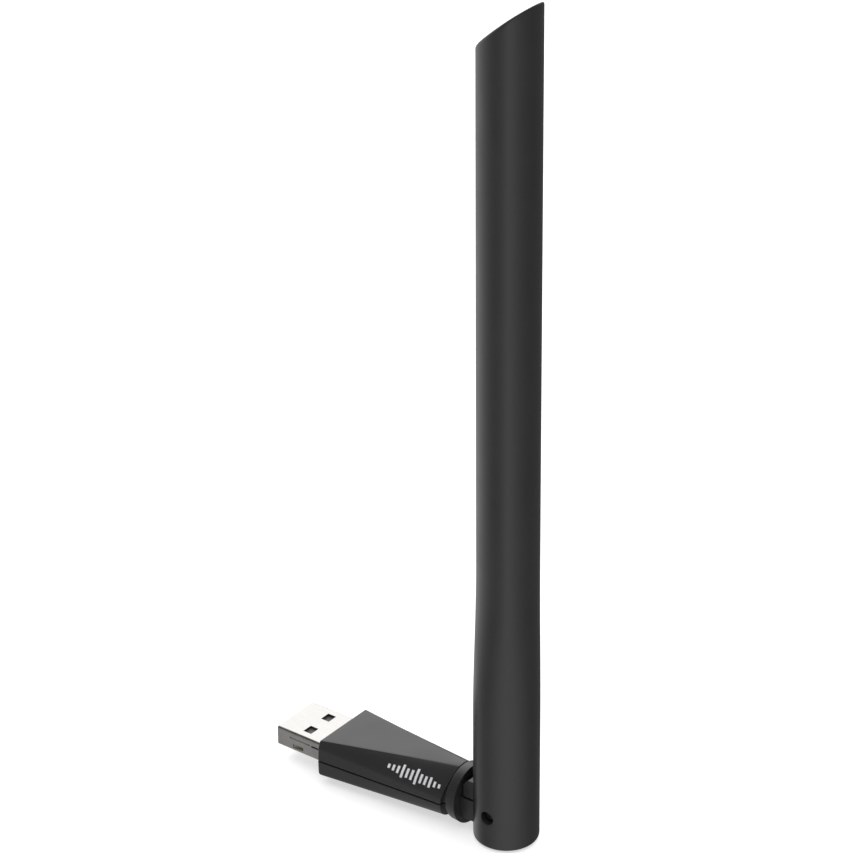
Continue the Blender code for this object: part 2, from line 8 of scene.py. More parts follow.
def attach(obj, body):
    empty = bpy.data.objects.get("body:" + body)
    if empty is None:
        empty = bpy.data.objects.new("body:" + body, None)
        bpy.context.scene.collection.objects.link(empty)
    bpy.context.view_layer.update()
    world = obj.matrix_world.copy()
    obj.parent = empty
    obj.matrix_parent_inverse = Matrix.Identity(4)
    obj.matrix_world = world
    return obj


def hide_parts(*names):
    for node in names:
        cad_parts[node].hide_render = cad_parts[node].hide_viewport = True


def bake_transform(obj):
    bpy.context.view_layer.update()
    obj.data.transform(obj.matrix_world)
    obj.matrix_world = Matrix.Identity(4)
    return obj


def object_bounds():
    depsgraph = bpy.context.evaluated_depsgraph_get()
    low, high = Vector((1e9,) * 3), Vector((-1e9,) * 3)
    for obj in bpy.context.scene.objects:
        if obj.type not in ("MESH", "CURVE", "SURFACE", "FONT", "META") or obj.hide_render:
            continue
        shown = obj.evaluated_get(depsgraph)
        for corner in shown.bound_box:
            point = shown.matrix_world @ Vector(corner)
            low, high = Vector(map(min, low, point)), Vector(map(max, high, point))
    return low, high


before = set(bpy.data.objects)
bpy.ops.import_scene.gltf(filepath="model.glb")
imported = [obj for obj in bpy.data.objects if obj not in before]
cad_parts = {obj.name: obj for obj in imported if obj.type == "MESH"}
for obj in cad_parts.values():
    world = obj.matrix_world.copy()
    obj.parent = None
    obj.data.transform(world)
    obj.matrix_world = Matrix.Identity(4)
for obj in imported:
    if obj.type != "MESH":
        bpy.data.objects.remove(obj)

cad_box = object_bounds()

# ---- Plug shell --------------------------------------------------------------------------------
# The shell of a USB-A plug: 0.3 mm steel strip, punched, folded round into a box and nickel plated.
# Its rear end is clamped between the two housing halves, and its windows catch the port's springs.

MM = 0.001
PLUG_HALF_WIDTH = 6.0 * MM
PLUG_HALF_HEIGHT = 2.25 * MM
PLUG_SHEET = 0.3 * MM
PLUG_FOLD = 0.5 * MM
SHELL_END = 18.6 * MM
WINDOW_X = 6.53 * MM
WINDOW_Y = 2.95 * MM
WINDOW_SIZE = (2.05 * MM, 2.45 * MM)
SEAM_HALF = 0.03 * MM
# Cuts in both side walls, as x and z limits in millimetres: a slit, a catch hole and a low slot
SIDE_CUTS = ((3.4, 8.4, 0.64, 0.76), (9.0, 10.9, 0.45, 0.8), (4.15, 6.8, -1.45, -0.6))
SLIT_END_RADIUS = 0.17 * MM
WALL_REACH = (5.2 * MM, 7.0 * MM)


def object_from(bm, name, recalculate=True):
    """A mesh object from a bmesh whose points are already in place."""
    if recalculate:
        bmesh.ops.recalc_face_normals(bm, faces=bm.faces)
    mesh = bpy.data.meshes.new(name)
    bm.to_mesh(mesh)
    bm.free()
    mesh.shade_smooth()
    made = bpy.data.objects.new(name, mesh)
    bpy.context.scene.collection.objects.link(made)
    return made


def skin(rows, closed_rows=True, loop=False, cap=True):
    """Faces through rows of equal length.

    closed_rows joins each row's ends, and loop joins the last row to the first.
    """
    bm = bmesh.new()
    grid = [[bm.verts.new(point) for point in row] for row in rows]
    columns = len(grid[0])
    pairs = list(zip(grid, grid[1:]))
    if loop:
        pairs.append((grid[-1], grid[0]))
    for low, high in pairs:
        for i in range(columns if closed_rows else columns - 1):
            j = (i + 1) % columns
            bm.faces.new((low[i], low[j], high[j], high[i]))
    if cap and closed_rows and not loop:
        bm.faces.new(grid[0][::-1])
        bm.faces.new(grid[-1])
    if cap and loop and not closed_rows:
        bm.faces.new([row[0] for row in grid])
        bm.faces.new([row[-1] for row in grid][::-1])
    return bm


def block(low, high):
    """A box between two corners."""
    size = Vector(high) - Vector(low)
    middle = (Vector(high) + Vector(low)) / 2
    bm = bmesh.new()
    bmesh.ops.create_cube(bm, size=1.0, matrix=Matrix.Translation(middle) @ Matrix.Diagonal((*size, 1)))
    return bm


def bar(radius, start, end, sides=64):
    """A round bar from start to end."""
    start = Vector(start)
    end = Vector(end)
    turn = (end - start).to_track_quat("Z", "Y").to_matrix().to_4x4()
    bm = bmesh.new()
    bmesh.ops.create_cone(
        bm,
        cap_ends=True,
        segments=sides,
        radius1=radius,
        radius2=radius,
        depth=(end - start).length,
        matrix=Matrix.Translation((start + end) / 2) @ turn,
    )
    return bm


def keep_evaluated(target):
    """Replaces a piece's mesh with what its modifiers make of it."""
    bpy.context.view_layer.update()
    graph = bpy.context.evaluated_depsgraph_get()
    result = bpy.data.meshes.new_from_object(target.evaluated_get(graph))
    old = target.data
    target.modifiers.clear()
    target.data = result
    bpy.data.meshes.remove(old)


def carve(target, tools, operation="DIFFERENCE"):
    """Cuts tools out of a piece, or joins them to it, one after another."""
    for tool_mesh in tools:
        tool = object_from(tool_mesh, "carving_tool")
        cut = target.modifiers.new("carve", "BOOLEAN")
        cut.operation = operation
        cut.object = tool
        keep_evaluated(target)
        bpy.data.objects.remove(tool, do_unlink=True)


def round_edges(target, width, segments=3, angle=35, tidy=0.01 * MM):
    """Rounds the sharp edges left by the carving, and evens out the shading of the flat faces."""
    bm = bmesh.new()
    bm.from_mesh(target.data)
    bmesh.ops.remove_doubles(bm, verts=bm.verts, dist=0.001 * MM)
    bmesh.ops.dissolve_degenerate(bm, dist=tidy, edges=bm.edges)
    bm.to_mesh(target.data)
    bm.free()
    edge = target.modifiers.new("edge", "BEVEL")
    edge.width = width
    edge.segments = segments
    edge.limit_method = "ANGLE"
    edge.angle_limit = radians(angle)
    edge.miter_outer = "MITER_ARC"
    keep_evaluated(target)
    target.data.shade_smooth()
    target.data.set_sharp_from_angle(angle=radians(40))
    even = target.modifiers.new("even shading", "WEIGHTED_NORMAL")
    even.keep_sharp = True
    keep_evaluated(target)


def ride_as(piece, body, slot, *nodes):
    """Attaches a finished piece to the body it moves with and hides the nodes it stands for; slot, its
    finish, is not used.
    """
    if nodes:
        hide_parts(*nodes)
    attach(piece, body)


def new_finish(name, metallic=0.0):
    """A material with its node tree and its Principled shader."""
    made = bpy.data.materials.new(name)
    made.use_nodes = True
    shader = made.node_tree.nodes["Principled BSDF"]
    shader.inputs["Metallic"].default_value = metallic
    return made, made.node_tree, shader


def group_socket(tree, name, side, kind="NodeSocketFloat", value=None):
    socket = tree.interface.new_socket(name, in_out=side, socket_type=kind)
    if value is not None:
        socket.default_value = value


def feed(tree, socket, value):
    """Links an input to a socket, or sets it to a value."""
    if isinstance(value, bpy.types.NodeSocket):
        tree.links.new(value, socket)
    else:
        socket.default_value = value


def add_node(tree, kind, inputs, **settings):
    """The outputs of a new node, with its settings made and its named inputs fed."""
    node = tree.nodes.new(kind)
    for label, value in settings.items():
        setattr(node, label, value)
    for label, value in inputs.items():
        feed(tree, node.inputs[label], value)
    return node.outputs


def calculate(tree, operation, *values):
    """A Math node fed with numbers or sockets."""
    node = tree.nodes.new("ShaderNodeMath")
    node.operation = operation
    for socket, value in zip(node.inputs, values):
        feed(tree, socket, value)
    return node.outputs[0]


def noise(tree, vector, scale, detail=2.0, roughness=0.5):
    inputs = {"Vector": vector, "Scale": scale, "Detail": detail, "Roughness": roughness}
    return add_node(tree, "ShaderNodeTexNoise", inputs)["Fac"]


def object_place(tree, scale=(1, 1, 1)):
    """Object coordinates, stretched."""
    place = add_node(tree, "ShaderNodeTexCoord", {})["Object"]
    return add_node(tree, "ShaderNodeMapping", {"Vector": place, "Scale": scale})["Vector"]


def ranged(tree, value, low, high, from_low=0.3, from_high=0.7, interpolation="LINEAR"):
    """A value moved into the range low to high; the limits it comes from suit a noise."""
    inputs = {"Value": value, "From Min": from_low, "From Max": from_high, "To Min": low, "To Max": high}
    return add_node(tree, "ShaderNodeMapRange", inputs, interpolation_type=interpolation)["Result"]


def tinted(tree, mask, first, second):
    """A colour between two, by a mask."""
    inputs = {"Factor": mask, "A": (*first, 1), "B": (*second, 1)}
    return add_node(tree, "ShaderNodeMix", inputs, data_type="RGBA")["Result"]


def dress(tree, shader, colour, gloss, height, depth):
    """Gives a shader its colour, its roughness and the bump of a height mask, depth metres deep."""
    tree.links.new(colour, shader.inputs["Base Color"])
    tree.links.new(gloss, shader.inputs["Roughness"])
    inputs = {"Distance": depth, "Strength": 1.0, "Height": height}
    tree.links.new(add_node(tree, "ShaderNodeBump", inputs)["Normal"], shader.inputs["Normal"])


def fold_loop(x, half_width, half_height, radius, steps=6):
    """One section of the folded shell."""
    points = []
    for quarter, (side, up) in enumerate(((1, 1), (-1, 1), (-1, -1), (1, -1))):
        for step in range(steps + 1):
            angle = pi / 2 * (quarter + step / steps)
            y = side * (half_width - radius) + radius * cos(angle)
            z = up * (half_height - radius) + radius * sin(angle)
            points.append((x, y, z))
    return points


def nickel_plate():
    """Bright nickel with rolling marks along the strip and a few faint rubs."""
    made, tree, shader = new_finish("nickel_plate", metallic=1.0)
    marks = noise(tree, object_place(tree, (300, 9000, 9000)), 1.0, 3.0, 0.6)
    rubs = noise(tree, object_place(tree), 420.0, 4.0, 0.65)
    half_marks, half_rubs = (calculate(tree, "MULTIPLY", mask, 0.5) for mask in (marks, rubs))
    gloss = ranged(tree, calculate(tree, "ADD", half_marks, half_rubs), 0.2, 0.42)
    dress(tree, shader, tinted(tree, rubs, (0.46, 0.45, 0.435), (0.64, 0.63, 0.61)), gloss, marks, 0.0000015)
    return made


outer_loop = [PLUG_HALF_WIDTH, PLUG_HALF_HEIGHT, PLUG_FOLD]
inner_loop = [size - PLUG_SHEET for size in outer_loop]
shell_rows = [
    fold_loop(0.0, *outer_loop),
    fold_loop(SHELL_END, *outer_loop),
    fold_loop(SHELL_END, *inner_loop),
    fold_loop(0.0, *inner_loop),
]
plug_shell = object_from(skin(shell_rows, loop=True), "plug_shell")
punches = []
for side in (-1, 1):
    low_y = WINDOW_Y * side - WINDOW_SIZE[1] / 2
    low_x = WINDOW_X - WINDOW_SIZE[0] / 2
    corner = (low_x + WINDOW_SIZE[0], low_y + WINDOW_SIZE[1], 5 * MM)
    punches.append(block((low_x, low_y, -5 * MM), corner))
    wall = sorted(reach * side for reach in WALL_REACH)
    for x0, x1, z0, z1 in SIDE_CUTS:
        punches.append(block((x0 * MM, wall[0], z0 * MM), (x1 * MM, wall[1], z1 * MM)))
    slit_start, slit_end, slit_low, slit_high = SIDE_CUTS[0]
    slit_z = (slit_low + slit_high) / 2 * MM
    for x in (slit_start, slit_end):
        punches.append(bar(SLIT_END_RADIUS, (x * MM, wall[0], slit_z), (x * MM, wall[1], slit_z), 20))
punches.append(block((-1 * MM, -SEAM_HALF, -3 * MM), (20 * MM, SEAM_HALF, -2.05 * MM)))
carve(plug_shell, punches)
round_edges(plug_shell, 0.05 * MM, 2)
plug_shell.data.materials.clear()
plug_shell.data.materials.append(nickel_plate())
ride_as(plug_shell, "adapter", "plug_steel", "usb_shell")

# ---- Insulator and contacts --------------------------------------------------------------------
# A black moulded tongue fills the upper half of the plug, so it shows through the top windows. Four
# gold-plated bronze strips lie in grooves along its underside, the outer pair reaching further forward.

TONGUE_FACE = 0.1 * MM
TONGUE_BACK = 1.65 * MM
TONGUE_X = (0.4 * MM, 18.0 * MM)
TONGUE_HALF = 5.4 * MM
GROOVE_START = 1.3 * MM
GROOVE_ROOM = 0.3 * MM
CONTACT_SHEET = 0.25 * MM
CONTACT_WIDTH = 1.0 * MM
CONTACT_TIP_WIDTH = 0.76 * MM
CONTACT_PROUD = 0.02 * MM
CONTACT_DIP = 0.16 * MM
# In millimetres along the plug
CONTACT_END = 18.4


def grain_group():
    """Fine spark-eroded mould texture: a height and a soft tone that both change over the surface."""
    tree = bpy.data.node_groups.new("mould_grain", "ShaderNodeTree")
    group_socket(tree, "Size", "INPUT", value=3500.0)
    group_socket(tree, "Height", "OUTPUT")
    group_socket(tree, "Tone", "OUTPUT")
    size = add_node(tree, "NodeGroupInput", {})["Size"]
    place = add_node(tree, "ShaderNodeTexCoord", {})["Object"]
    fine = noise(tree, place, size, 3.0, 0.6)
    pits = add_node(tree, "ShaderNodeTexVoronoi", {"Vector": place, "Scale": size})["Distance"]
    height = calculate(tree, "ADD", fine, calculate(tree, "MULTIPLY", pits, 0.6))
    add_node(tree, "NodeGroupOutput", {"Height": height, "Tone": noise(tree, place, 90.0, 3.0, 0.55)})
    return tree


mould_grain = grain_group()


def moulded_plastic(name, colour, pale, roughness, grain_size=3500.0, depth=0.000004):
    """Satin plastic: mould grain in the bump, and a slow drift of tone and gloss."""
    made, tree, shader = new_finish(name)
    grain = add_node(tree, "ShaderNodeGroup", {"Size": grain_size}, node_tree=mould_grain)
    gloss = ranged(tree, grain["Tone"], roughness - 0.03, roughness + 0.04)
    dress(tree, shader, tinted(tree, grain["Tone"], colour, pale), gloss, grain["Height"], depth)
    return made


def gold_plate():
    """Gold plate, wiped along the strip."""
    made, tree, shader = new_finish("gold_plate", metallic=1.0)
    wipe = noise(tree, object_place(tree, (250, 7000, 7000)), 1.0, 3.0)
    colour = tinted(tree, wipe, (0.78, 0.54, 0.20), (0.92, 0.72, 0.36))
    dress(tree, shader, colour, ranged(tree, wipe, 0.16, 0.34), wipe, 0.000001)
    return made


def geometry_tree(name, inputs):
    """A Geometry Nodes tree with a mesh in, a mesh out, the named inputs and a material."""
    tree = bpy.data.node_groups.new(name, "GeometryNodeTree")
    group_socket(tree, "Geometry", "OUTPUT", "NodeSocketGeometry")
    group_socket(tree, "Geometry", "INPUT", "NodeSocketGeometry")
    for label, kind in inputs.items():
        group_socket(tree, label, "INPUT", kind)
    group_socket(tree, "Finish", "INPUT", "NodeSocketMaterial")
    return tree


def finish_tree(tree, geometry, read):
    """Ends a tree in Realize Instances and Set Material."""
    whole = add_node(tree, "GeometryNodeRealizeInstances", {"Geometry": geometry})["Geometry"]
    inputs = {"Geometry": whole, "Material": read["Finish"]}
    painted = add_node(tree, "GeometryNodeSetMaterial", inputs)["Geometry"]
    add_node(tree, "NodeGroupOutput", {"Geometry": painted})


def run_tree(target, tree, values):
    """Runs a Geometry Nodes tree on a piece with the given inputs, and keeps the plain mesh."""
    run = target.modifiers.new(tree.name, "NODES")
    run.node_group = tree
    for item in tree.interface.items_tree:
        if item.in_out == "INPUT" and item.name in values:
            run[item.identifier] = values[item.name]
    keep_evaluated(target)


def row_of_points(tree, read):
    """Points in a straight row: Count of them, Step apart, from Start."""
    inputs = {"Count": read["Count"], "Start Location": read["Start"], "Offset": read["Step"]}
    return add_node(tree, "GeometryNodeMeshLine", inputs)["Mesh"]


def row_of_copies_tree():
    """Copies of the incoming piece on a row of points."""
    kinds = {"Count": "NodeSocketInt", "Start": "NodeSocketVector", "Step": "NodeSocketVector"}
    tree = geometry_tree("row_of_copies", kinds)
    read = add_node(tree, "NodeGroupInput", {})
    inputs = {"Points": row_of_points(tree, read), "Instance": read["Geometry"]}
    finish_tree(tree, add_node(tree, "GeometryNodeInstanceOnPoints", inputs)["Instances"], read)
    return tree


row_of_copies = row_of_copies_tree()

tongue_low = (TONGUE_X[0], -TONGUE_HALF, TONGUE_FACE)
tongue_high = (TONGUE_X[1], TONGUE_HALF, TONGUE_BACK)
tongue = object_from(block(tongue_low, tongue_high), "plug_tongue")
half_groove = CONTACT_WIDTH / 2 + GROOVE_ROOM
groove_floor = TONGUE_FACE + CONTACT_SHEET + GROOVE_ROOM
grooves = []
for y in (-3.5 * MM, -1.0 * MM, 1.0 * MM, 3.5 * MM):
    grooves.append(block((GROOVE_START, y - half_groove, -1 * MM), (20 * MM, y + half_groove, groove_floor)))
carve(tongue, grooves)
round_edges(tongue, 0.07 * MM, 2)
insulator_black = moulded_plastic("insulator_black", (0.045, 0.045, 0.046), (0.07, 0.07, 0.071), 0.42)
tongue.data.materials.append(insulator_black)
ride_as(tongue, "adapter", "insulator", "usb_tongue")


def contact_strip(length):
    """One strip, length in millimetres, with its tip at x = 0 dipped into its groove."""
    rows = []
    for x, sink in ((0, 1.0), (0.18, 0.8), (0.4, 0.35), (0.7, 0.0), (length, 0.0)):
        low = TONGUE_FACE - CONTACT_PROUD + sink * CONTACT_DIP
        top = low + CONTACT_SHEET
        half = CONTACT_WIDTH / 2 if x else CONTACT_TIP_WIDTH / 2
        rows.append([(x * MM, -half, low), (x * MM, half, low), (x * MM, half, top), (x * MM, -half, top)])
    return skin(rows)


gold = gold_plate()
for name, tip, spread, nodes in (
    ("power_contacts", 1.6, 7.0, ("usb_contact_1", "usb_contact_4")),
    ("data_contacts", 2.6, 2.0, ("usb_contact_2", "usb_contact_3")),
):
    contacts = object_from(contact_strip(CONTACT_END - tip), name)
    place = {"Start": (tip * MM, -spread / 2 * MM, 0), "Step": (0, spread * MM, 0)}
    run_tree(contacts, row_of_copies, {"Count": 2, "Finish": gold, **place})
    round_edges(contacts, 0.04 * MM, 2)
    ride_as(contacts, "adapter", "gold_contact", *nodes)

# ---- Circuit board and its parts ---------------------------------------------------------------
# A 1 mm glass-epoxy board with green solder mask lies in the lower half. It carries the radio chip,
# its crystal, the power parts and four capacitors, all soldered flat on tinned pads.

BOARD_X = (19.0 * MM, 38.4 * MM)
BOARD_HALF = (6.2 * MM, 4.7 * MM)
BOARD_Z = (-0.6 * MM, 0.4 * MM)
SEAT = 0.7 * MM
PAD = 0.04 * MM


def solder_mask():
    """Green mask over copper: lighter tracks that run along and across the board show through."""
    made, tree, shader = new_finish("solder_mask")
    place = object_place(tree)
    parts = add_node(tree, "ShaderNodeSeparateXYZ", {"Vector": place})
    lanes = []
    for axis, pitch in (("X", 0.9 * MM), ("Y", 0.7 * MM)):
        wave = calculate(tree, "SINE", calculate(tree, "MULTIPLY", parts[axis], 2 * pi / pitch))
        lanes.append(calculate(tree, "GREATER_THAN", wave, 0.35))
    patch = calculate(tree, "GREATER_THAN", noise(tree, place, 260.0, 0.0), 0.5)
    first = calculate(tree, "MULTIPLY", lanes[0], patch)
    second = calculate(tree, "MULTIPLY", lanes[1], calculate(tree, "SUBTRACT", 1.0, patch))
    tracks = calculate(tree, "ADD", first, second)
    gloss = ranged(tree, noise(tree, place, 700.0, 3.0), 0.28, 0.42)
    colour = tinted(tree, tracks, (0.012, 0.085, 0.04), (0.03, 0.17, 0.07))
    dress(tree, shader, colour, gloss, tracks, 0.00002)
    return made


def bare_metal(name, dark, light, roughness, stretch=(1, 1, 1)):
    """Unpainted metal whose tone and gloss drift a little over the surface."""
    made, tree, shader = new_finish(name, metallic=1.0)
    drift = noise(tree, object_place(tree, stretch), 900.0, 4.0, 0.6)
    gloss = ranged(tree, drift, roughness - 0.06, roughness + 0.08)
    dress(tree, shader, tinted(tree, drift, dark, light), gloss, drift, 0.000002)
    return made


mask = solder_mask()
tin = bare_metal("tinned_metal", (0.52, 0.52, 0.52), (0.68, 0.68, 0.67), 0.34)
board_corners = [(BOARD_X[0], -BOARD_HALF[0]), (BOARD_X[1], -BOARD_HALF[1])]
board_corners += [(x, -y) for x, y in reversed(board_corners)]
board = object_from(skin([[(x, y, z) for x, y in board_corners] for z in BOARD_Z]), "printed_board")
locating_notches = []
for side in (-1, 1):
    notch = (25 * MM, side * 5.9 * MM)
    locating_notches.append(bar(0.7 * MM, (*notch, -2 * MM), (*notch, 2 * MM), 32))
carve(board, locating_notches)
round_edges(board, 0.05 * MM, 2)
board.data.materials.append(mask)
ride_as(board, "adapter", "board_green", "circuit_board")

for name, count, start, step, size in (
    ("plug_pads_outer", 2, (19.9, -3.5), (0, 7.0), (1.4, 0.9)),
    ("plug_pads_inner", 2, (19.9, -1.0), (0, 2.0), (1.4, 0.9)),
    ("chip_pads_near", 9, (25.5, -2.75), (0.5, 0), (0.26, 0.5)),
    ("chip_pads_far", 9, (25.5, 2.75), (0.5, 0), (0.26, 0.5)),
    ("coax_pads", 2, (36.6, -1.5), (0, 3.0), (1.6, 1.0)),
):
    half_x, half_y = (length / 2 * MM for length in size)
    pads = object_from(block((-half_x, -half_y, BOARD_Z[1] - PAD), (half_x, half_y, BOARD_Z[1] + PAD)), name)
    place = {"Start": (start[0] * MM, start[1] * MM, 0), "Step": (step[0] * MM, step[1] * MM, 0)}
    run_tree(pads, row_of_copies, {"Count": count, "Finish": tin, **place})
    round_edges(pads, 0.03 * MM, 2)
    ride_as(pads, "adapter", "tin_can")


def standing_block(middle, size, shrink=0.0, lift=0.0, height=None):
    """A block on the parts' seat: middle (x, y), size (length, width, height) in millimetres."""
    x, y = middle
    length, width = size[0] / 2 - shrink, size[1] / 2 - shrink
    low = ((x - length) * MM, (y - width) * MM, SEAT + lift * MM)
    top = size[2] if height is None else height
    return block(low, ((x + length) * MM, (y + width) * MM, SEAT + top * MM))


chip_epoxy = moulded_plastic("chip_epoxy", (0.018, 0.018, 0.019), (0.034, 0.034, 0.036), 0.55, 6000.0)
ferrite = moulded_plastic("ferrite_core", (0.05, 0.05, 0.052), (0.09, 0.088, 0.085), 0.62, 2600.0, 0.00001)
ceramic = moulded_plastic("capacitor_ceramic", (0.36, 0.25, 0.16), (0.47, 0.34, 0.23), 0.5, 5000.0)

chip_place, chip_size = (27.5, 0.0), (5.0, 5.0, 0.85)
chip = object_from(standing_block(chip_place, chip_size), "radio_chip_package")
dimple = (25.6 * MM, -1.9 * MM)
carve(chip, [bar(0.28 * MM, (*dimple, SEAT + 0.78 * MM), (*dimple, SEAT + 2 * MM), 32)])
round_edges(chip, 0.05 * MM, 2)
chip.data.materials.append(chip_epoxy)
ride_as(chip, "adapter", "chip_epoxy", "radio_chip")

crystal_place, crystal_size = (32.6, 2.4), (3.2, 2.5, 0.7)
crystal = object_from(standing_block(crystal_place, crystal_size, height=0.4), "crystal_can")
carve(crystal, [standing_block(crystal_place, crystal_size, shrink=0.18, lift=0.2)], "UNION")
round_edges(crystal, 0.07 * MM, 3)
crystal.data.materials.append(tin)
ride_as(crystal, "adapter", "tin_can", "crystal")

regulator_place, regulator_size = (22.0, -3.6), (2.9, 1.6, 1.1)
regulator = object_from(standing_block(regulator_place, (2.9, 1.0, 1.1), lift=0.1), "regulator_package")
legs = []
for x in (-0.95, 0.0, 0.95):
    leg_place = (regulator_place[0] + x, regulator_place[1])
    legs.append(standing_block(leg_place, (0.4, 1.6, 0.2)))
    legs.append(standing_block(leg_place, (0.4, 1.16, 0.5)))
carve(regulator, legs, "UNION")
round_edges(regulator, 0.04 * MM, 2)
regulator.data.materials.append(chip_epoxy)
regulator.data.materials.append(tin)
body_half = 0.52 * MM
for face in regulator.data.polygons:
    face.material_index = int(abs(face.center.y - regulator_place[1] * MM) > body_half)
ride_as(regulator, "adapter", "chip_epoxy", "power_regulator")

inductor_place, inductor_size = (22.2, 0.6), (2.5, 2.0, 1.2)
inductor = object_from(standing_block(inductor_place, inductor_size, height=0.3), "inductor_core")
middle = (inductor_place[0] * MM, inductor_place[1] * MM)
post = bar(0.75 * MM, (*middle, SEAT + 0.1 * MM), (*middle, SEAT + 1.1 * MM), 48)
carve(inductor, [post, standing_block(inductor_place, inductor_size, lift=0.9)], "UNION")
round_edges(inductor, 0.07 * MM, 3)
inductor.data.materials.append(ferrite)
ride_as(inductor, "adapter", "ferrite", "power_inductor")

for number, place, size in (
    (1, (22.0, 3.8), (2.0, 1.25, 0.9)),
    (2, (27.5, 4.1), (1.6, 0.8, 0.8)),
    (3, (27.5, -4.1), (1.6, 0.8, 0.8)),
    (4, (32.6, -2.6), (1.6, 0.8, 0.8)),
):
    cap_length = size[0] * 0.22
    body = standing_block(place, (size[0] - 0.1, size[1] - 0.08, size[2]), lift=0.04, height=size[2] - 0.04)
    capacitor = object_from(body, f"capacitor_{number}_body")
    ends = []
    for side in (-1, 1):
        x = place[0] + side * (size[0] - cap_length) / 2
        ends.append(standing_block((x, place[1]), (cap_length, size[1], size[2])))
    carve(capacitor, ends, "UNION")
    round_edges(capacitor, 0.03 * MM, 2)
    capacitor.data.materials.append(ceramic)
    capacitor.data.materials.append(tin)
    bare_half = (size[0] / 2 - cap_length) * MM
    for face in capacitor.data.polygons:
        face.material_index = int(abs(face.center.x - place[0] * MM) > bare_half)
    ride_as(capacitor, "adapter", "ceramic", f"capacitor_{number}")

# ---- Coax in the housing -----------------------------------------------------------------------
# A 1.1 mm coax with a black jacket is soldered at the end of the board and runs through the hollow
# shaft, along the axis that the knuckle turns about. It is a stretch of one cable to the antenna.

COAX_RADIUS = 0.56 * MM


def coax_run_tree():
    """A round cable of the given Radius along the incoming line of edges."""
    tree = geometry_tree("coax_run", {"Radius": "NodeSocketFloat", "Sides": "NodeSocketInt"})
    read = add_node(tree, "NodeGroupInput", {})
    path = add_node(tree, "GeometryNodeMeshToCurve", {"Mesh": read["Geometry"]})["Curve"]
    inputs = {"Radius": read["Radius"], "Resolution": read["Sides"]}
    ring = add_node(tree, "GeometryNodeCurvePrimitiveCircle", inputs)["Curve"]
    inputs = {"Curve": path, "Profile Curve": ring, "Fill Caps": True}
    finish_tree(tree, add_node(tree, "GeometryNodeCurveToMesh", inputs)["Mesh"], read)
    return tree


def smooth_route(route, steps=8):
    """Points along a smooth bend through a route given in millimetres."""
    points = [Vector(point) * MM for point in route]
    path = []
    for i in range(len(points) - 1):
        before, start, end = points[max(i - 1, 0)], points[i], points[i + 1]
        after = points[min(i + 2, len(points) - 1)]
        for step in range(steps):
            t = step / steps
            square = (2 * before - 5 * start + 4 * end - after) * t**2
            cube = (3 * start - before - 3 * end + after) * t**3
            path.append((2 * start + (end - before) * t + square + cube) / 2)
    return path + [points[-1]]


coax_run = coax_run_tree()
coax_jacket = moulded_plastic("coax_jacket", (0.035, 0.035, 0.036), (0.06, 0.06, 0.062), 0.4, 2500.0)


def coax_stretch(name, route):
    """One stretch of the cable, with its ends closed and its faces outwards."""
    path = bmesh.new()
    points = [path.verts.new(point) for point in smooth_route(route)]
    for first, second in zip(points, points[1:]):
        path.edges.new((first, second))
    made = object_from(path, name, recalculate=False)
    run_tree(made, coax_run, {"Radius": COAX_RADIUS, "Sides": 20, "Finish": coax_jacket})
    tube = bmesh.new()
    tube.from_mesh(made.data)
    bmesh.ops.remove_doubles(tube, verts=tube.verts, dist=0.0005 * MM)
    bmesh.ops.recalc_face_normals(tube, faces=tube.faces)
    tube.to_mesh(made.data)
    tube.free()
    made.data.shade_smooth()
    made.data.set_sharp_from_angle(angle=radians(60))
    return made


housing_route = [(35.6, 0, 1.26), (37.4, 0, 1.26), (39.6, 0, 0.93), (43.8, 0, 0.93)]
ride_as(coax_stretch("coax_housing_run", housing_route), "adapter", "coax_jacket", "coax_in_housing")

# ---- Housing halves ----------------------------------------------------------------------------
# Two satin black clamshell mouldings, snapped and welded along a flat parting line. The section is
# a rounded rectangle at the plug and a circle at the swivel, with a flat wedge-shaped top between.

FRONT = 12.57 * MM
BACK = 44.1 * MM
WALL = 1.2 * MM
TOP = 4.35 * MM
BOTTOM = -4.0 * MM
TOP_HALF = 7.72 * MM
HALF = 8.47 * MM
CREASE = 2.85 * MM
CREASE_INSET = 0.2 * MM
FOOT_INSET = 0.1 * MM
TOP_ROUND = 0.28 * MM
FRONT_ROUND = 0.5 * MM
FOOT_ROUND = 1.0 * MM
PARTING = -0.2 * MM
SWIVEL_Z = 0.93 * MM
BACK_RADIUS = 6.25 * MM
NECK_RADIUS = 5.4 * MM
FACET_DIP = 0.65 * MM
CORNER_ANGLES = (9, 12)
FACET_ANGLES = (12, 87)
FOOT_ANGLES = (124, 144)
SHAFT_BORE = 3.26 * MM
END_WALL = 41.0 * MM
END_X = 43.0 * MM
END_SLANT = 0.17
PARTING_GAP = 0.15 * MM
PARTING_ROUND = 0.1 * MM
LIP = 0.1 * MM
BODY_ROWS = 30
# Shares of the way to the slanted rear end at which the body's rows start and stop
BODY_SHARES = (0.016, 0.994)
TURN_IN_SHARE = 0.998


def arc_points(centre, radius, first, last, steps):
    points = []
    for step in range(steps + 1):
        angle = radians(first + (last - first) * step / steps)
        points.append((centre[0] + radius * cos(angle), centre[1] + radius * sin(angle)))
    return points


def parting_edge(upper):
    return PARTING + PARTING_GAP if upper else PARTING - PARTING_GAP


def back_radius(angle, inset):
    """The circle at the swivel, a little flattened where the two upper side facets run out."""
    first, last = (radians(limit) for limit in FACET_ANGLES)
    share = min(max((abs(angle) - first) / (last - first), 0), 1)
    return BACK_RADIUS - inset - FACET_DIP * sin(pi * share)


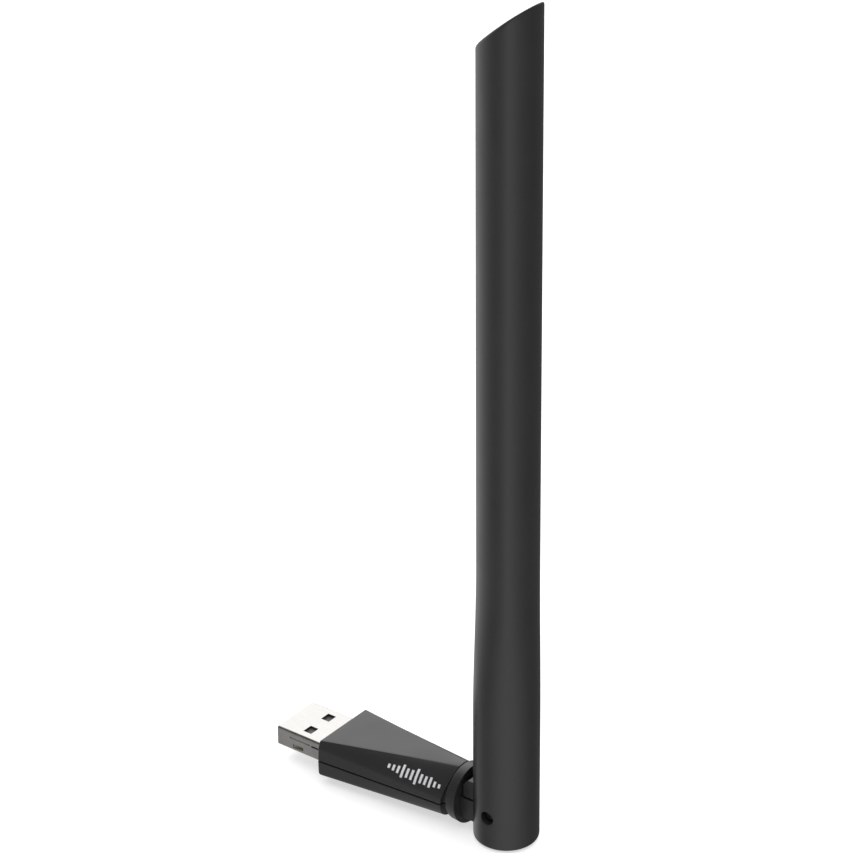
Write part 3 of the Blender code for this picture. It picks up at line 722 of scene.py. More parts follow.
def half_columns(upper, inset):
    """Front point and back angle of each column of one half, from one parting edge over to the other."""
    level = parting_edge(upper)
    radius = BACK_RADIUS - inset
    level_angle = acos((level - SWIVEL_Z) / radius) * 180 / pi
    widest = HALF - inset
    low_z = BOTTOM + inset
    top_z = TOP - inset
    foot = max(FOOT_ROUND - inset / 2, 0.3 * MM)
    edge = max(TOP_ROUND - inset / 2, 0.1 * MM)
    shoulder = TOP_HALF - inset
    crease = (widest - CREASE_INSET, CREASE - inset / 2)
    low_side = (widest - FOOT_INSET, low_z + foot)
    stretches = []
    if upper:
        corner, corner_end = CORNER_ANGLES
        step = (corner_end - corner) / 6
        turn = arc_points((shoulder - edge, top_z - edge), edge, 90, 12, 6)
        stretches.append(([(0, top_z), turn[0]], (0, corner), 8))
        for i in range(6):
            stretches.append(([turn[i], turn[i + 1]], (corner + step * i, corner + step * (i + 1)), 1))
        stretches.append(([turn[-1], crease], FACET_ANGLES, 26))
        stretches.append(([crease, (widest, level)], (FACET_ANGLES[1], level_angle), 6))
    else:
        corner, corner_end = FOOT_ANGLES
        step = (corner_end - corner) / 8
        turn = arc_points((low_side[0] - foot, low_z + foot), foot, 0, -90, 8)
        stretches.append(([(widest, level), low_side], (level_angle, corner), 8))
        for i in range(8):
            stretches.append(([turn[i], turn[i + 1]], (corner + step * i, corner + step * (i + 1)), 1))
        stretches.append(([turn[-1], (0, low_z)], (corner_end, 180), 14))
    columns = []
    for (start, end), (angle0, angle1), count in stretches:
        for i in range(count):
            share = i / count
            y = start[0] + (end[0] - start[0]) * share
            z = start[1] + (end[1] - start[1]) * share
            columns.append((y, z, radians(angle0 + (angle1 - angle0) * share)))
    last, angles = stretches[-1][0][1], stretches[-1][1]
    columns.append((*last, radians(angles[1])))
    if upper:
        columns.reverse()
    mirrored = [(-y, z, -angle) for y, z, angle in columns[:-1]]
    return columns, mirrored[::-1]


def half_row(upper, place, inset=0.0):
    """One row over both sides, with each parting edge rounded; place turns (y, z, angle) into a point."""
    near, far = half_columns(upper, inset)
    points = [place(*column) for column in near + far]
    up = 1 if upper else -1
    for end, inner in ((0, 1), (-1, -2)):
        x, y, z = points[end]
        side = 1 if y > 0 else -1
        curl = []
        for angle in (90, 60, 30, 0):
            inward = PARTING_ROUND * (1 - cos(radians(angle)))
            lift = PARTING_ROUND * (1 - sin(radians(angle)))
            curl.append((x, y - side * inward, z + up * lift))
        if end == 0:
            points[0:1] = curl
        else:
            points[-1:] = curl[::-1]
    return points


def body_place(share, shrink=0.0, inset=0.0, shift=0.0):
    """Places a column's point on the lofted skin: share 0 is the front face, 1 the slanted rear end."""

    def place(y, z, angle):
        radius = back_radius(angle, inset)
        y *= 1 - shrink / HALF
        z *= 1 - shrink / TOP
        back_y = radius * sin(angle)
        back_z = SWIVEL_Z + radius * cos(angle)
        reach = END_X + END_SLANT * (z - PARTING) - FRONT
        span = BACK - FRONT
        whole = reach / (span - END_SLANT * (back_z - z)) if inset == 0 else (END_WALL - FRONT) / span
        along = share * whole + shift / span
        return (FRONT + span * along, y + (back_y - y) * along, z + (back_z - z) * along)

    return place


def ring_place(x, radius, slanted):
    """Places a column's point on a circle about the swivel axis, kept level with the parting edge."""

    def place(y, z, angle):
        turn = angle
        level = z if abs(abs(y) - HALF) < 1e-9 else None
        if level is not None:
            turn = acos((level - SWIVEL_Z) / radius) * (1 if y > 0 else -1)
        ring_z = SWIVEL_Z + radius * cos(turn)
        at = x + END_SLANT * (ring_z - PARTING) if slanted else x
        return (at, radius * sin(turn), ring_z)

    return place


def mouth_place(x, grow, level):
    """Places a column's point on the rounded rectangular opening for the plug."""
    width = PLUG_HALF_WIDTH + 0.3 * MM + grow
    height = PLUG_HALF_HEIGHT + 0.3 * MM + grow

    def place(y, z, angle):
        reach = hypot(y, z - level)
        across = abs(y) / reach
        up = abs(z - level) / reach
        size = ((across / width) ** 8 + (up / (height + abs(level))) ** 8) ** (-1 / 8)
        return (x, y / reach * size, level + (z - level) / reach * size)

    return place


def housing_half(name, upper):
    """A closed shell, whose rows run out over the front, along the body, in at the bore and back inside."""
    level = parting_edge(upper)
    rows = [
        half_row(upper, mouth_place(FRONT + WALL, 0, level)),
        half_row(upper, mouth_place(FRONT + LIP, 0, level)),
        half_row(upper, mouth_place(FRONT, LIP, level)),
    ]
    for angle in (90, 72, 54, 36, 18, 0):
        shrink = FRONT_ROUND * (1 - cos(radians(angle)))
        shift = FRONT_ROUND * (1 - sin(radians(angle)))
        rows.append(half_row(upper, body_place(0.0, shrink=shrink, shift=shift)))
    first, last = BODY_SHARES
    for step in range(1, BODY_ROWS + 1):
        share = first + (last - first) * step / BODY_ROWS
        rows.append(half_row(upper, body_place(share)))
    rows.append(half_row(upper, body_place(TURN_IN_SHARE, shrink=0.03 * MM)))
    for x, radius, slanted in (
        (END_X, NECK_RADIUS + LIP, True),
        (END_X, NECK_RADIUS, True),
        (BACK - LIP, NECK_RADIUS, False),
        (BACK, NECK_RADIUS - LIP, False),
        (BACK, SHAFT_BORE + LIP, False),
        (BACK - LIP, SHAFT_BORE, False),
        (END_WALL, SHAFT_BORE, False),
    ):
        rows.append(half_row(upper, ring_place(x, radius, slanted)))
    for share in (1.0, 0.66, 0.33, 0.0):
        start = WALL if share == 0 else 0.0
        rows.append(half_row(upper, body_place(share, inset=WALL, shift=start), WALL))
    made = object_from(skin(rows, closed_rows=False, loop=True), name)
    made.data.set_sharp_from_angle(angle=radians(38))
    return made


satin_tones = ((0.016, 0.016, 0.017), (0.022, 0.022, 0.023))
satin_black = moulded_plastic("satin_black", *satin_tones, 0.35, 4200.0, 0.0000035)
for name, upper, node in (("housing_upper", True, "housing_top"), ("housing_lower", False, "housing_bottom")):
    half = housing_half(name, upper)
    half.data.materials.append(satin_black)
    ride_as(half, "adapter", "satin_black", node)

# ---- Printed mark ------------------------------------------------------------------------------
# A row of light grey bars pad-printed on the near facet of the upper half, whose heights swell and
# fade like a signal. The ink film is a few hundredths of a millimetre thick and follows the surface.

MARK_START = (29.7 * MM, 4.0 * MM)
MARK_STEP = (1.12 * MM, -0.05 * MM)
MARK_COUNT = 12


def printed_bars_tree():
    """Upright bars in a row, cast along Y onto Surface and given a thin film of ink."""
    kinds = {
        "Surface": "NodeSocketObject",
        "Count": "NodeSocketInt",
        "Start": "NodeSocketVector",
        "Step": "NodeSocketVector",
        "Tallest": "NodeSocketFloat",
        "Width": "NodeSocketFloat",
        "Film": "NodeSocketFloat",
    }
    tree = geometry_tree("printed_bars", kinds)
    read = add_node(tree, "NodeGroupInput", {})

    def work(operation, *values):
        return calculate(tree, operation, *values)

    shape = {"Size": (1, 1, 1), "Vertices X": 3, "Vertices Z": 9}
    plate = add_node(tree, "GeometryNodeMeshCube", shape)["Mesh"]
    index = add_node(tree, "GeometryNodeInputIndex", {})["Index"]
    along = work("DIVIDE", index, work("SUBTRACT", read["Count"], 1.0))
    swell = work("SINE", work("MULTIPLY", along, pi))
    beat = work("ABSOLUTE", work("COSINE", work("MULTIPLY", index, 1.05)))
    share = work("MULTIPLY_ADD", work("MULTIPLY", swell, beat), 0.74, 0.26)
    inputs = {"X": read["Width"], "Y": MM, "Z": work("MULTIPLY", share, read["Tallest"])}
    size = add_node(tree, "ShaderNodeCombineXYZ", inputs)["Vector"]
    inputs = {"Points": row_of_points(tree, read), "Instance": plate, "Scale": size}
    bars = add_node(tree, "GeometryNodeInstanceOnPoints", inputs)["Instances"]
    loose = add_node(tree, "GeometryNodeRealizeInstances", {"Geometry": bars})["Geometry"]

    wall = add_node(tree, "GeometryNodeObjectInfo", {"Object": read["Surface"]})["Geometry"]
    position = add_node(tree, "GeometryNodeInputPosition", {})["Position"]
    spot = add_node(tree, "ShaderNodeSeparateXYZ", {"Vector": position})
    start_y = add_node(tree, "ShaderNodeSeparateXYZ", {"Vector": read["Start"]})["Y"]
    source = add_node(tree, "ShaderNodeCombineXYZ", {"X": spot["X"], "Y": start_y, "Z": spot["Z"]})["Vector"]
    inputs = {"Target Geometry": wall, "Source Position": source, "Ray Direction": (0, 1, 0)}
    cast = add_node(tree, "GeometryNodeRaycast", inputs, data_type="FLOAT_VECTOR")
    outer = work("MULTIPLY_ADD", work("LESS_THAN", spot["Y"], start_y), 2.0, -1.0)
    inputs = {"Vector": cast["Hit Normal"], "Scale": work("MULTIPLY", outer, read["Film"])}
    push = add_node(tree, "ShaderNodeVectorMath", inputs, operation="SCALE")["Vector"]
    settled = tree.nodes.new("ShaderNodeVectorMath")
    for socket, value in zip(settled.inputs, (cast["Hit Position"], push)):
        feed(tree, socket, value)
    inputs = {"Geometry": loose, "Position": settled.outputs["Vector"]}
    finish_tree(tree, add_node(tree, "GeometryNodeSetPosition", inputs)["Geometry"], read)
    return tree


def mark_ink():
    """Matt light grey ink, a little thin and speckled where the pad lifted off."""
    made, tree, shader = new_finish("mark_ink")
    speckle = noise(tree, object_place(tree), 5200.0, 4.0, 0.7)
    colour = tinted(tree, speckle, (0.50, 0.51, 0.52), (0.66, 0.67, 0.68))
    dress(tree, shader, colour, ranged(tree, speckle, 0.5, 0.62), speckle, 0.000003)
    return made


printed_mark = object_from(block((0, 0, 0), (MM, MM, MM)), "printed_mark")
mark_values = {
    "Surface": bpy.data.objects["housing_upper"],
    "Count": MARK_COUNT,
    "Start": (MARK_START[0], -12 * MM, MARK_START[1]),
    "Step": (MARK_STEP[0], 0, MARK_STEP[1]),
    "Tallest": 2.7 * MM,
    "Width": 0.55 * MM,
    "Film": 0.02 * MM,
    "Finish": mark_ink(),
}
run_tree(printed_mark, printed_bars_tree(), mark_values)
printed_mark.data.set_sharp_from_angle(angle=radians(40))
ride_as(printed_mark, "adapter", "white_nylon")

# ---- Knuckle -----------------------------------------------------------------------------------
# Two black mouldings carry the antenna. The base has a hollow shaft that turns in the housing's end
# wall behind a snap flange, a broad disc and the lower half of the eye; the cover closes the cable way.

PIN_X = 55.15 * MM
PIN_Z = 1.72 * MM
PIN_RADIUS = 1.0 * MM
PIN_FIT = 0.06 * MM
EYE_RADIUS = 4.6 * MM
BASE_HALF_WIDTH = 3.85 * MM
COVER_HALF_WIDTH = 3.6 * MM
COAX_BORE = 1.0 * MM
SHAFT_RADIUS = 3.2 * MM
FLANGE_RADIUS = 4.3 * MM
DISC_BACK = 44.4 * MM
DISC_FACE = 46.6 * MM
DISC_RADIUS = 6.5 * MM
KNUCKLE_PARTING = 2.0 * MM
KNUCKLE_GAP = 0.15 * MM
WELL_X = (47.4 * MM, 50.6 * MM)
WELL_FLOOR = -0.1 * MM
RISER_END = 51 * MM
CHANNEL_START = 50 * MM
CHANNEL_FLOOR = 3.75 * MM


def turned(profile, place, sides):
    """A body turned about a line: profile holds (along, radius) pairs, place takes (along, out, up)."""
    rows = []
    for along, radius in profile:
        angles = [2 * pi * i / sides for i in range(sides)]
        rows.append([place(along, radius * cos(a), radius * sin(a)) for a in angles])
    return skin(rows)


def knuckle_side(low_z, high_z, back_x, upper, steps=30):
    """Outline (x, z) of one half: a straight stem that ends in half an eye round the pin."""
    limit = (low_z if upper else high_z) - PIN_Z
    first = atan(limit / (EYE_RADIUS**2 - limit**2) ** 0.5)
    last = pi / 2 if upper else -pi / 2
    angles = [first + (last - first) * i / steps for i in range(steps + 1)]
    if upper:
        angles.reverse()
        chamfer = 1.2 * MM
        outline = [(back_x, low_z), (back_x, high_z - chamfer), (back_x + chamfer, high_z)]
    else:
        outline = [(back_x, low_z), (back_x, high_z)]
    return outline + [(PIN_X + EYE_RADIUS * cos(a), PIN_Z + EYE_RADIUS * sin(a)) for a in angles]


def slab(outline, half_width):
    """An outline in XZ given thickness along Y."""
    return skin([[(x, y, z) for x, z in outline] for y in (-half_width, half_width)])


shaft_profile = [
    (39.5 * MM, FLANGE_RADIUS - 0.3 * MM),
    (39.8 * MM, FLANGE_RADIUS),
    (40.7 * MM, FLANGE_RADIUS),
    (40.7 * MM, SHAFT_RADIUS),
    (DISC_BACK, SHAFT_RADIUS),
    (DISC_BACK, DISC_RADIUS - 0.38 * MM),
    (DISC_BACK + 0.06 * MM, DISC_RADIUS - 0.24 * MM),
    (DISC_BACK + 0.2 * MM, DISC_RADIUS - 0.18 * MM),
    (DISC_FACE, DISC_RADIUS),
]
shaft = turned(shaft_profile, lambda along, out, up: (along, out, SWIVEL_Z + up), 96)
knuckle_base = object_from(shaft, "knuckle_base_moulding")
lower_outline = knuckle_side(PIN_Z - EYE_RADIUS, KNUCKLE_PARTING - KNUCKLE_GAP, DISC_FACE - 1 * MM, False)
carve(knuckle_base, [slab(lower_outline, BASE_HALF_WIDTH)], "UNION")
upper_outline = knuckle_side(KNUCKLE_PARTING + KNUCKLE_GAP, PIN_Z + EYE_RADIUS, DISC_FACE + 0.3 * MM, True)
knuckle_cover = object_from(slab(upper_outline, COVER_HALF_WIDTH), "knuckle_cover_moulding")
reach = 10 * MM
shaft_bore = bar(COAX_BORE, (38 * MM, 0, SWIVEL_Z), (DISC_FACE + 2.4 * MM, 0, SWIVEL_Z), 32)
well = block((WELL_X[0], -COAX_BORE, WELL_FLOOR), (WELL_X[1], COAX_BORE, 5 * MM))
riser = block((WELL_X[0], -COAX_BORE, 1 * MM), (RISER_END, COAX_BORE, reach))
channel = block((CHANNEL_START, -COAX_BORE, CHANNEL_FLOOR), (65 * MM, COAX_BORE, reach))
for half, cuts, node in (
    (knuckle_base, [shaft_bore, well], "knuckle_base"),
    (knuckle_cover, [riser, channel], "knuckle_cover"),
):
    pin_bore = bar(PIN_RADIUS + PIN_FIT, (PIN_X, -reach, PIN_Z), (PIN_X, reach, PIN_Z))
    carve(half, [*cuts, pin_bore])
    round_edges(half, 0.14 * MM, 3)
    half.data.materials.append(satin_black)
    ride_as(half, "knuckle", "satin_black", node)

# ---- Coax at the hinge -------------------------------------------------------------------------
# The same cable leaves the shaft, climbs through the knuckle's well and passes over the hinge pin
# into the antenna.

CABLE_X = PIN_X + 0.8 * MM
# In millimetres, like every route
hinge_route = [
    (44.1, 0, 0.93),
    (46.6, 0, 0.93),
    (48.3, 0, 1.5),
    (49.4, 0, 3.2),
    (50.6, 0, 4.6),
    (52.4, 0, 5.0),
    (54.4, 0, 5.4),
    (55.65, 0, 6.8),
    (CABLE_X / MM, 0, 9.4),
]
bend_start, bend_end = (Vector(hinge_route[i]) * MM for i in (4, -1))
hinge_coax = coax_stretch("coax_hinge_run", hinge_route)
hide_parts("coax_at_hinge")
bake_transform(hinge_coax)

# ---- Antenna sleeve ----------------------------------------------------------------------------
# One long satin black moulding. It is round at the foot and changes into a soft three-sided section,
# and its top is cut on a slant. A slot between two arms at the foot takes the knuckle.

ANTENNA_FOOT = -5.68 * MM
FOOT_CORNER = 0.9 * MM
ROUND_RADIUS = 6.76 * MM
SECTION_TERMS = (6.22 * MM, 0.05 * MM, 0.3 * MM, -0.5 * MM)
CHANGE_LOW = 23 * MM
CHANGE_HIGH = 56 * MM
TOP_MIDDLE = 171.5 * MM
TOP_SLOPE = 0.85
SLOT_HALF = 4.15 * MM
SLOT_ROUND = EYE_RADIUS + 0.3 * MM
SWEEP_RADIUS = 8.1 * MM
BORE_RADIUS = 4.6 * MM
BORE_Z = (6 * MM, 158 * MM)
TOP_ROUNDING = 0.6 * MM
RECESS_RADIUS = 1.5 * MM
RECESS_FLOOR = 5.0 * MM


def antenna_form_tree():
    """The sleeve's outer form by h(a) = h0 + h1 cos a + h2 cos 2a + h3 cos 3a.

    h is how far the wall's tangent at normal angle a lies from the axis, so a point is h*n + h'*t.
    """
    names = ["Foot", "Corner", "Round Radius", "Mean", "First", "Second", "Third"]
    names += ["Change Low", "Change High", "Axis X", "Top", "Slope"]
    kinds = {"Sides": "NodeSocketInt", "Rows": "NodeSocketInt", "Corner Rows": "NodeSocketInt"}
    kinds.update({label: "NodeSocketFloat" for label in names})
    tree = geometry_tree("antenna_form", kinds)
    read = add_node(tree, "NodeGroupInput", {})

    def work(operation, *values):
        return calculate(tree, operation, *values)

    shape = {"Radius": 1.0, "Depth": 2.0, "Vertices": read["Sides"], "Side Segments": read["Rows"]}
    tube = add_node(tree, "GeometryNodeMeshCylinder", shape)["Mesh"]
    position = add_node(tree, "GeometryNodeInputPosition", {})["Position"]
    spot = add_node(tree, "ShaderNodeSeparateXYZ", {"Vector": position})
    angle = work("ARCTAN2", spot["Y"], spot["X"])
    row = work("MULTIPLY", work("MULTIPLY_ADD", spot["Z"], 0.5, 0.5), read["Rows"])

    corner_share = work("MINIMUM", work("DIVIDE", row, read["Corner Rows"]), 1.0)
    turn = work("MULTIPLY", corner_share, pi / 2)
    inset = work("MULTIPLY", read["Corner"], work("SUBTRACT", 1.0, work("SINE", turn)))
    rise = work("MULTIPLY", read["Corner"], work("SUBTRACT", 1.0, work("COSINE", turn)))
    wall_rows = work("SUBTRACT", read["Rows"], read["Corner Rows"])
    wall_share = work("MAXIMUM", work("DIVIDE", work("SUBTRACT", row, read["Corner Rows"]), wall_rows), 0.0)
    wall_height = work("SUBTRACT", work("SUBTRACT", read["Top"], read["Foot"]), read["Corner"])
    height = work("ADD", work("ADD", read["Foot"], rise), work("MULTIPLY", wall_share, wall_height))

    change = ranged(tree, height, 0.0, 1.0, read["Change Low"], read["Change High"], "SMOOTHSTEP")
    mean_step = work("SUBTRACT", read["Mean"], read["Round Radius"])
    tangent_at = work("SUBTRACT", work("MULTIPLY_ADD", change, mean_step, read["Round Radius"]), inset)
    slide = work("MULTIPLY", change, 0.0)
    for order, label in enumerate(("First", "Second", "Third"), 1):
        term = work("MULTIPLY", change, read[label])
        turned = work("MULTIPLY", angle, float(order))
        tangent_at = work("ADD", tangent_at, work("MULTIPLY", term, work("COSINE", turned)))
        slope = work("MULTIPLY", term, work("MULTIPLY", work("SINE", turned), float(order)))
        slide = work("SUBTRACT", slide, slope)
    across = work("COSINE", angle)
    beside = work("SINE", angle)
    x = work("SUBTRACT", work("MULTIPLY", tangent_at, across), work("MULTIPLY", slide, beside))
    y = work("ADD", work("MULTIPLY", tangent_at, beside), work("MULTIPLY", slide, across))

    slant = ranged(tree, height, 0.0, read["Slope"], read["Change High"], read["Top"])
    z = work("ADD", height, work("MULTIPLY", x, slant))
    inputs = {"X": work("ADD", x, read["Axis X"]), "Y": y, "Z": z}
    inputs = {"Geometry": tube, "Position": add_node(tree, "ShaderNodeCombineXYZ", inputs)["Vector"]}
    finish_tree(tree, add_node(tree, "GeometryNodeSetPosition", inputs)["Geometry"], read)
    return tree


antenna_sleeve = object_from(block((0, 0, 0), (MM, MM, MM)), "antenna_sleeve_moulding")
form_values = {
    "Sides": 160,
    "Rows": 130,
    "Corner Rows": 8,
    "Foot": ANTENNA_FOOT,
    "Corner": FOOT_CORNER,
    "Round Radius": ROUND_RADIUS,
    **dict(zip(("Mean", "First", "Second", "Third"), SECTION_TERMS)),
    "Change Low": CHANGE_LOW,
    "Change High": CHANGE_HIGH,
    "Axis X": PIN_X,
    "Top": TOP_MIDDLE,
    "Slope": TOP_SLOPE,
    "Finish": satin_black,
}
run_tree(antenna_sleeve, antenna_form_tree(), form_values)
round_edges(antenna_sleeve, TOP_ROUNDING, 6)
far = 20 * MM
foot_corner = object_from(block((PIN_X - far, -far, PIN_Z - far), (PIN_X, far, PIN_Z)), "foot_corner")
carve(foot_corner, [bar(SWEEP_RADIUS, (PIN_X, -2 * far, PIN_Z), (PIN_X, 2 * far, PIN_Z), 192)])
sweep = bmesh.new()
sweep.from_mesh(foot_corner.data)
bpy.data.objects.remove(foot_corner, do_unlink=True)
sleeve_cuts = [
    bar(BORE_RADIUS, (PIN_X, 0, BORE_Z[0]), (PIN_X, 0, BORE_Z[1]), 96),
    bar(SLOT_ROUND, (PIN_X, -SLOT_HALF, PIN_Z), (PIN_X, SLOT_HALF, PIN_Z), 96),
    block((PIN_X - far, -SLOT_HALF, PIN_Z - far), (PIN_X, SLOT_HALF, PIN_Z + SLOT_ROUND)),
    block((PIN_X - MM, -SLOT_HALF, PIN_Z - far), (PIN_X + SLOT_ROUND, SLOT_HALF, PIN_Z)),
    sweep,
    bar(PIN_RADIUS + PIN_FIT, (PIN_X, -far, PIN_Z), (PIN_X, far, PIN_Z)),
]
for side in (-1, 1):
    sleeve_cuts.append(bar(RECESS_RADIUS, (PIN_X, side * RECESS_FLOOR, PIN_Z), (PIN_X, side * far, PIN_Z)))
carve(antenna_sleeve, sleeve_cuts)
round_edges(antenna_sleeve, 0.12 * MM, 2, tidy=0.03 * MM)
antenna_sleeve.data.materials.clear()
antenna_sleeve.data.materials.append(satin_black)
ride_as(antenna_sleeve, "antenna", "satin_black", "antenna_sleeve")

# ---- Hinge pin ---------------------------------------------------------------------------------
# A blackened steel pin, turned with chamfered ends and centre marks, pressed through both arms of the
# sleeve. Its ends stand at the bottom of the two round recesses, and the knuckle's eye turns on it.

PIN_HALF = 5.7 * MM
# Radius and depth below the end face, in millimetres, from the centre mark out to the full width
pin_end = ((0.26, 0.15), (0.3, 0.03), (0.33, 0.0), (0.84, 0.0), (0.9, 0.02), (0.96, 0.07), (1.0, 0.16))
pin_profile = [(depth * MM - PIN_HALF, radius * MM) for radius, depth in pin_end]
pin_profile += [(-y, radius) for y, radius in reversed(pin_profile)]
turned_pin = turned(pin_profile, lambda y, out, up: (PIN_X + out, y, PIN_Z + up), 64)
pin = object_from(turned_pin, "hinge_pin_steel")
pin.data.set_sharp_from_angle(angle=radians(40))
pin.data.materials.append(bare_metal("blackened_steel", (0.035, 0.035, 0.037), (0.06, 0.06, 0.062), 0.42))
ride_as(pin, "antenna", "pin_steel", "hinge_pin")

# ---- Strip holder ------------------------------------------------------------------------------
# A white nylon plug is pushed up the sleeve's bore. Two lands grip the bore, the waist between them
# lets it flex, and the cable passes through a hole beside its centre.

CABLE_ROOM = COAX_RADIUS + 0.3 * MM
LAND_RADIUS = 4.3
WAIST_RADIUS = 4.05
END_RADIUS = 4.0
# Height and radius in millimetres
holder_profile = [(10.5, END_RADIUS), (10.8, LAND_RADIUS), (12.0, LAND_RADIUS), (12.3, WAIST_RADIUS)]
holder_profile += [(12.9, WAIST_RADIUS), (13.2, LAND_RADIUS), (14.2, LAND_RADIUS), (14.5, END_RADIUS)]
holder_profile = [(z * MM, radius * MM) for z, radius in holder_profile]
turned_holder = turned(holder_profile, lambda z, out, up: (PIN_X + out, up, z), 72)
holder = object_from(turned_holder, "strip_holder_nylon")
carve(holder, [bar(CABLE_ROOM, (CABLE_X, 0, 0), (CABLE_X, 0, 20 * MM), 32)])
round_edges(holder, 0.05 * MM, 2)
nylon = moulded_plastic("white_nylon", (0.68, 0.67, 0.63), (0.78, 0.77, 0.73), 0.5, 2200.0)
holder.data.materials.append(nylon)
ride_as(holder, "antenna", "white_nylon", "strip_holder")

# ---- Antenna strip and its arms ----------------------------------------------------------------
# A narrow printed strip stands in the bore with a dipole on one face: two foil arms that taper to the
# feed point between them, where the cable's core and braid are soldered.

STRIP_BACK = CABLE_ROOM
STRIP_FACE = STRIP_BACK + 0.8 * MM
ARM_BACK = STRIP_FACE + 0.3 * MM
ARM_SHEET = 0.15 * MM
# In millimetres up the strip, like its outlines
FEED = 62.0


def plate(outline, back, face):
    """An outline (x from the axis, z) in millimetres, given thickness along Y."""
    return skin([[(PIN_X + x * MM, y, z * MM) for x, z in outline] for y in (back, face)])


strip_outline = [(-3.4, 14.8), (3.4, 14.8), (3.4, 145.0), (2.4, 146.0), (-2.4, 146.0), (-3.4, 145.0)]
strip = object_from(plate(strip_outline, STRIP_BACK, STRIP_FACE), "antenna_strip_board")
strip_holes = []
for x, z in ((-2.2, 17.5), (0.8, FEED - 1.4), (0.8, FEED + 1.4)):
    start = (PIN_X + x * MM, 0, z * MM)
    strip_holes.append(bar(0.4 * MM, start, (start[0], 10 * MM, start[2]), 24))
carve(strip, strip_holes)
round_edges(strip, 0.05 * MM, 2)
strip.data.materials.append(mask)
ride_as(strip, "antenna", "board_green", "antenna_strip")

foil = bare_metal("copper_foil", (0.62, 0.31, 0.18), (0.80, 0.46, 0.30), 0.32, (1, 1, 0.2))
for name, feed_end, far_end, node in (
    ("dipole_arm_lower", FEED - 1, 30.0, "element_lower"),
    ("dipole_arm_upper", FEED + 1, 93.0, "element_upper"),
):
    away = 1 if far_end > feed_end else -1
    arm_outline = [(-1.0, feed_end), (1.0, feed_end), (2.4, feed_end + away * 3)]
    arm_outline += [(2.4, far_end), (-2.4, far_end), (-2.4, feed_end + away * 3)]
    arm = object_from(plate(arm_outline, ARM_BACK, ARM_BACK + ARM_SHEET), name)
    round_edges(arm, 0.03 * MM, 2)
    arm.data.materials.append(foil)
    ride_as(arm, "antenna", "copper", node)

# ---- Coax in the antenna -----------------------------------------------------------------------
# The last stretch of the cable runs straight up behind the strip to the feed point.

antenna_route = [(CABLE_X / MM, 0, z) for z in (9.7, 30, FEED)]
ride_as(coax_stretch("coax_antenna_run", antenna_route), "antenna", "coax_jacket", "coax_in_antenna")

# ---- Studio ------------------------------------------------------------------------------------
# A pale floor under a broad soft light, in a room that is bright behind the object and dim elsewhere,
# with one weak glow low in front and one low at a side. The long lens stands well back.

VIEW_AZIMUTH = radians(37.711)
VIEW_ELEVATION = radians(28.083)
VIEW_ROLL = radians(-0.487)
CAMERA_PLACE = (0.436, -0.518, 0.4315)
LENS = 160.07
LAMP_SIDE = 2.4
LAMP_HEIGHT = 1.6
LAMP_POWER = 45.0

floor = object_from(block((-4, -4, -0.05), (4, 4, cad_box[0].z - 0.0002)), "studio_floor")
floor_finish, floor_tree, floor_shader = new_finish("pale_floor")
floor_shader.inputs["Base Color"].default_value = (0.5, 0.5, 0.5, 1)
floor_shader.inputs["Emission Color"].default_value = (1, 1, 1, 1)
floor_shader.inputs["Emission Strength"].default_value = 0.6
floor_shader.inputs["Roughness"].default_value = 0.9
floor.data.materials.append(floor_finish)
floor.visible_glossy = False

camera = bpy.data.objects.new("camera", bpy.data.cameras.new("camera"))
bpy.context.scene.collection.objects.link(camera)
camera.data.lens = LENS
camera.data.sensor_width = 36.0
camera.location = CAMERA_PLACE
turned = Matrix.Rotation(VIEW_AZIMUTH, 4, "Z") @ Matrix.Rotation(pi / 2 - VIEW_ELEVATION, 4, "X")
camera.rotation_euler = (turned @ Matrix.Rotation(VIEW_ROLL, 4, "Z")).to_euler()
bpy.context.scene.camera = camera
bpy.context.scene.view_settings.view_transform = "Standard"


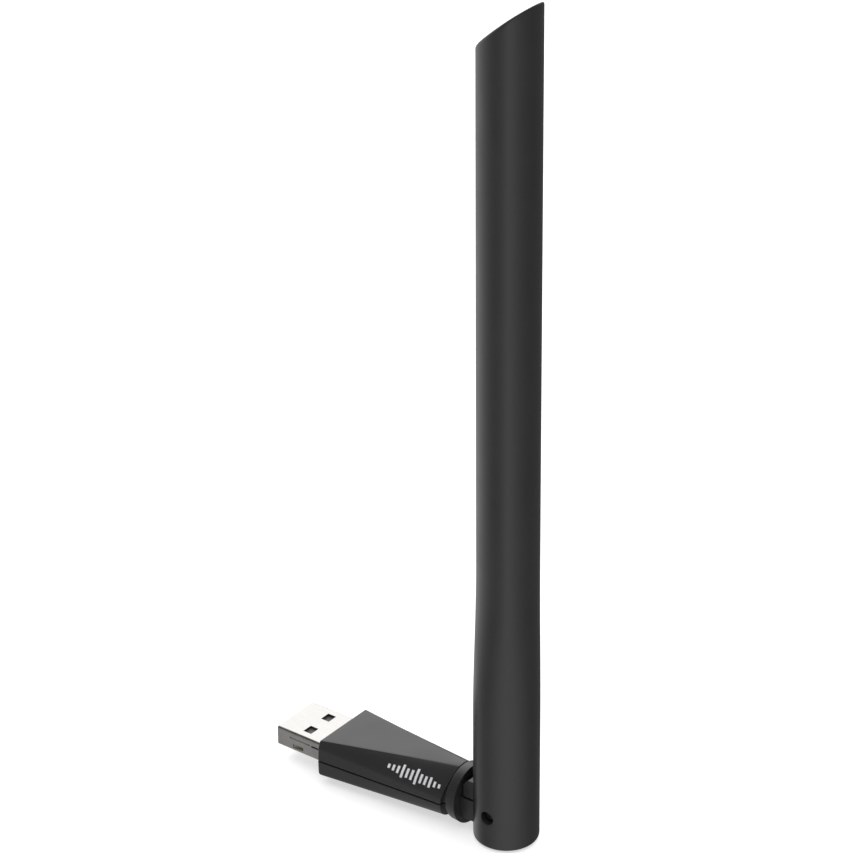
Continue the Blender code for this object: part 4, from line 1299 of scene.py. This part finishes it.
def facing(tree, direction, azimuth, elevation):
    """How far a direction leans towards one given by azimuth and elevation, from -1 to 1."""
    node = tree.nodes.new("ShaderNodeVectorMath")
    node.operation = "DOT_PRODUCT"
    flat = cos(elevation)
    towards = (sin(azimuth) * flat, -cos(azimuth) * flat, sin(elevation))
    for socket, value in zip(node.inputs, (direction, towards)):
        feed(tree, socket, value)
    return node.outputs["Value"]


def soft_step(tree, value, low, high):
    return ranged(tree, value, 0.0, 1.0, low, high, "SMOOTHSTEP")


def glow(tree, direction, azimuth, elevation, strength, tightness):
    """A soft patch of light round one direction."""
    lean = calculate(tree, "MAXIMUM", facing(tree, direction, azimuth, elevation), 0.0)
    return calculate(tree, "MULTIPLY", calculate(tree, "POWER", lean, tightness), strength)


world = bpy.data.worlds.new("soft_room")
bpy.context.scene.world = world
world.use_nodes = True
room = world.node_tree
look = add_node(room, "ShaderNodeTexCoord", {})["Generated"]
above = facing(room, look, 0.0, pi / 2)
low_dim = ranged(room, soft_step(room, above, -0.15, 0.15), 0.15, 0.1, 0.0, 1.0)
behind = soft_step(room, facing(room, look, VIEW_AZIMUTH + pi, 0.0), 0.3, 0.75)
raised_behind = calculate(room, "MULTIPLY", behind, soft_step(room, above, 0.05, 0.3))
back_light = calculate(room, "MULTIPLY", raised_behind, 1.8)
front_glow = glow(room, look, VIEW_AZIMUTH, -VIEW_ELEVATION, 0.9, 2.2)
side_glow = glow(room, look, VIEW_AZIMUTH - radians(140), -VIEW_ELEVATION, 0.75, 5.0)
glows = calculate(room, "ADD", front_glow, side_glow)
total = calculate(room, "ADD", calculate(room, "ADD", low_dim, back_light), glows)
room.links.new(total, room.nodes["Background"].inputs["Strength"])
room.nodes["Background"].inputs["Color"].default_value = (1, 1, 1, 1)

lamp = bpy.data.objects.new("overhead", bpy.data.lights.new("overhead", "AREA"))
bpy.context.scene.collection.objects.link(lamp)
lamp.data.shape = "RECTANGLE"
lamp.data.size = LAMP_SIDE
lamp.data.size_y = LAMP_SIDE
lamp.data.energy = LAMP_POWER
lamp.location = (0.0, 0.0, LAMP_HEIGHT)
lamp.visible_glossy = False
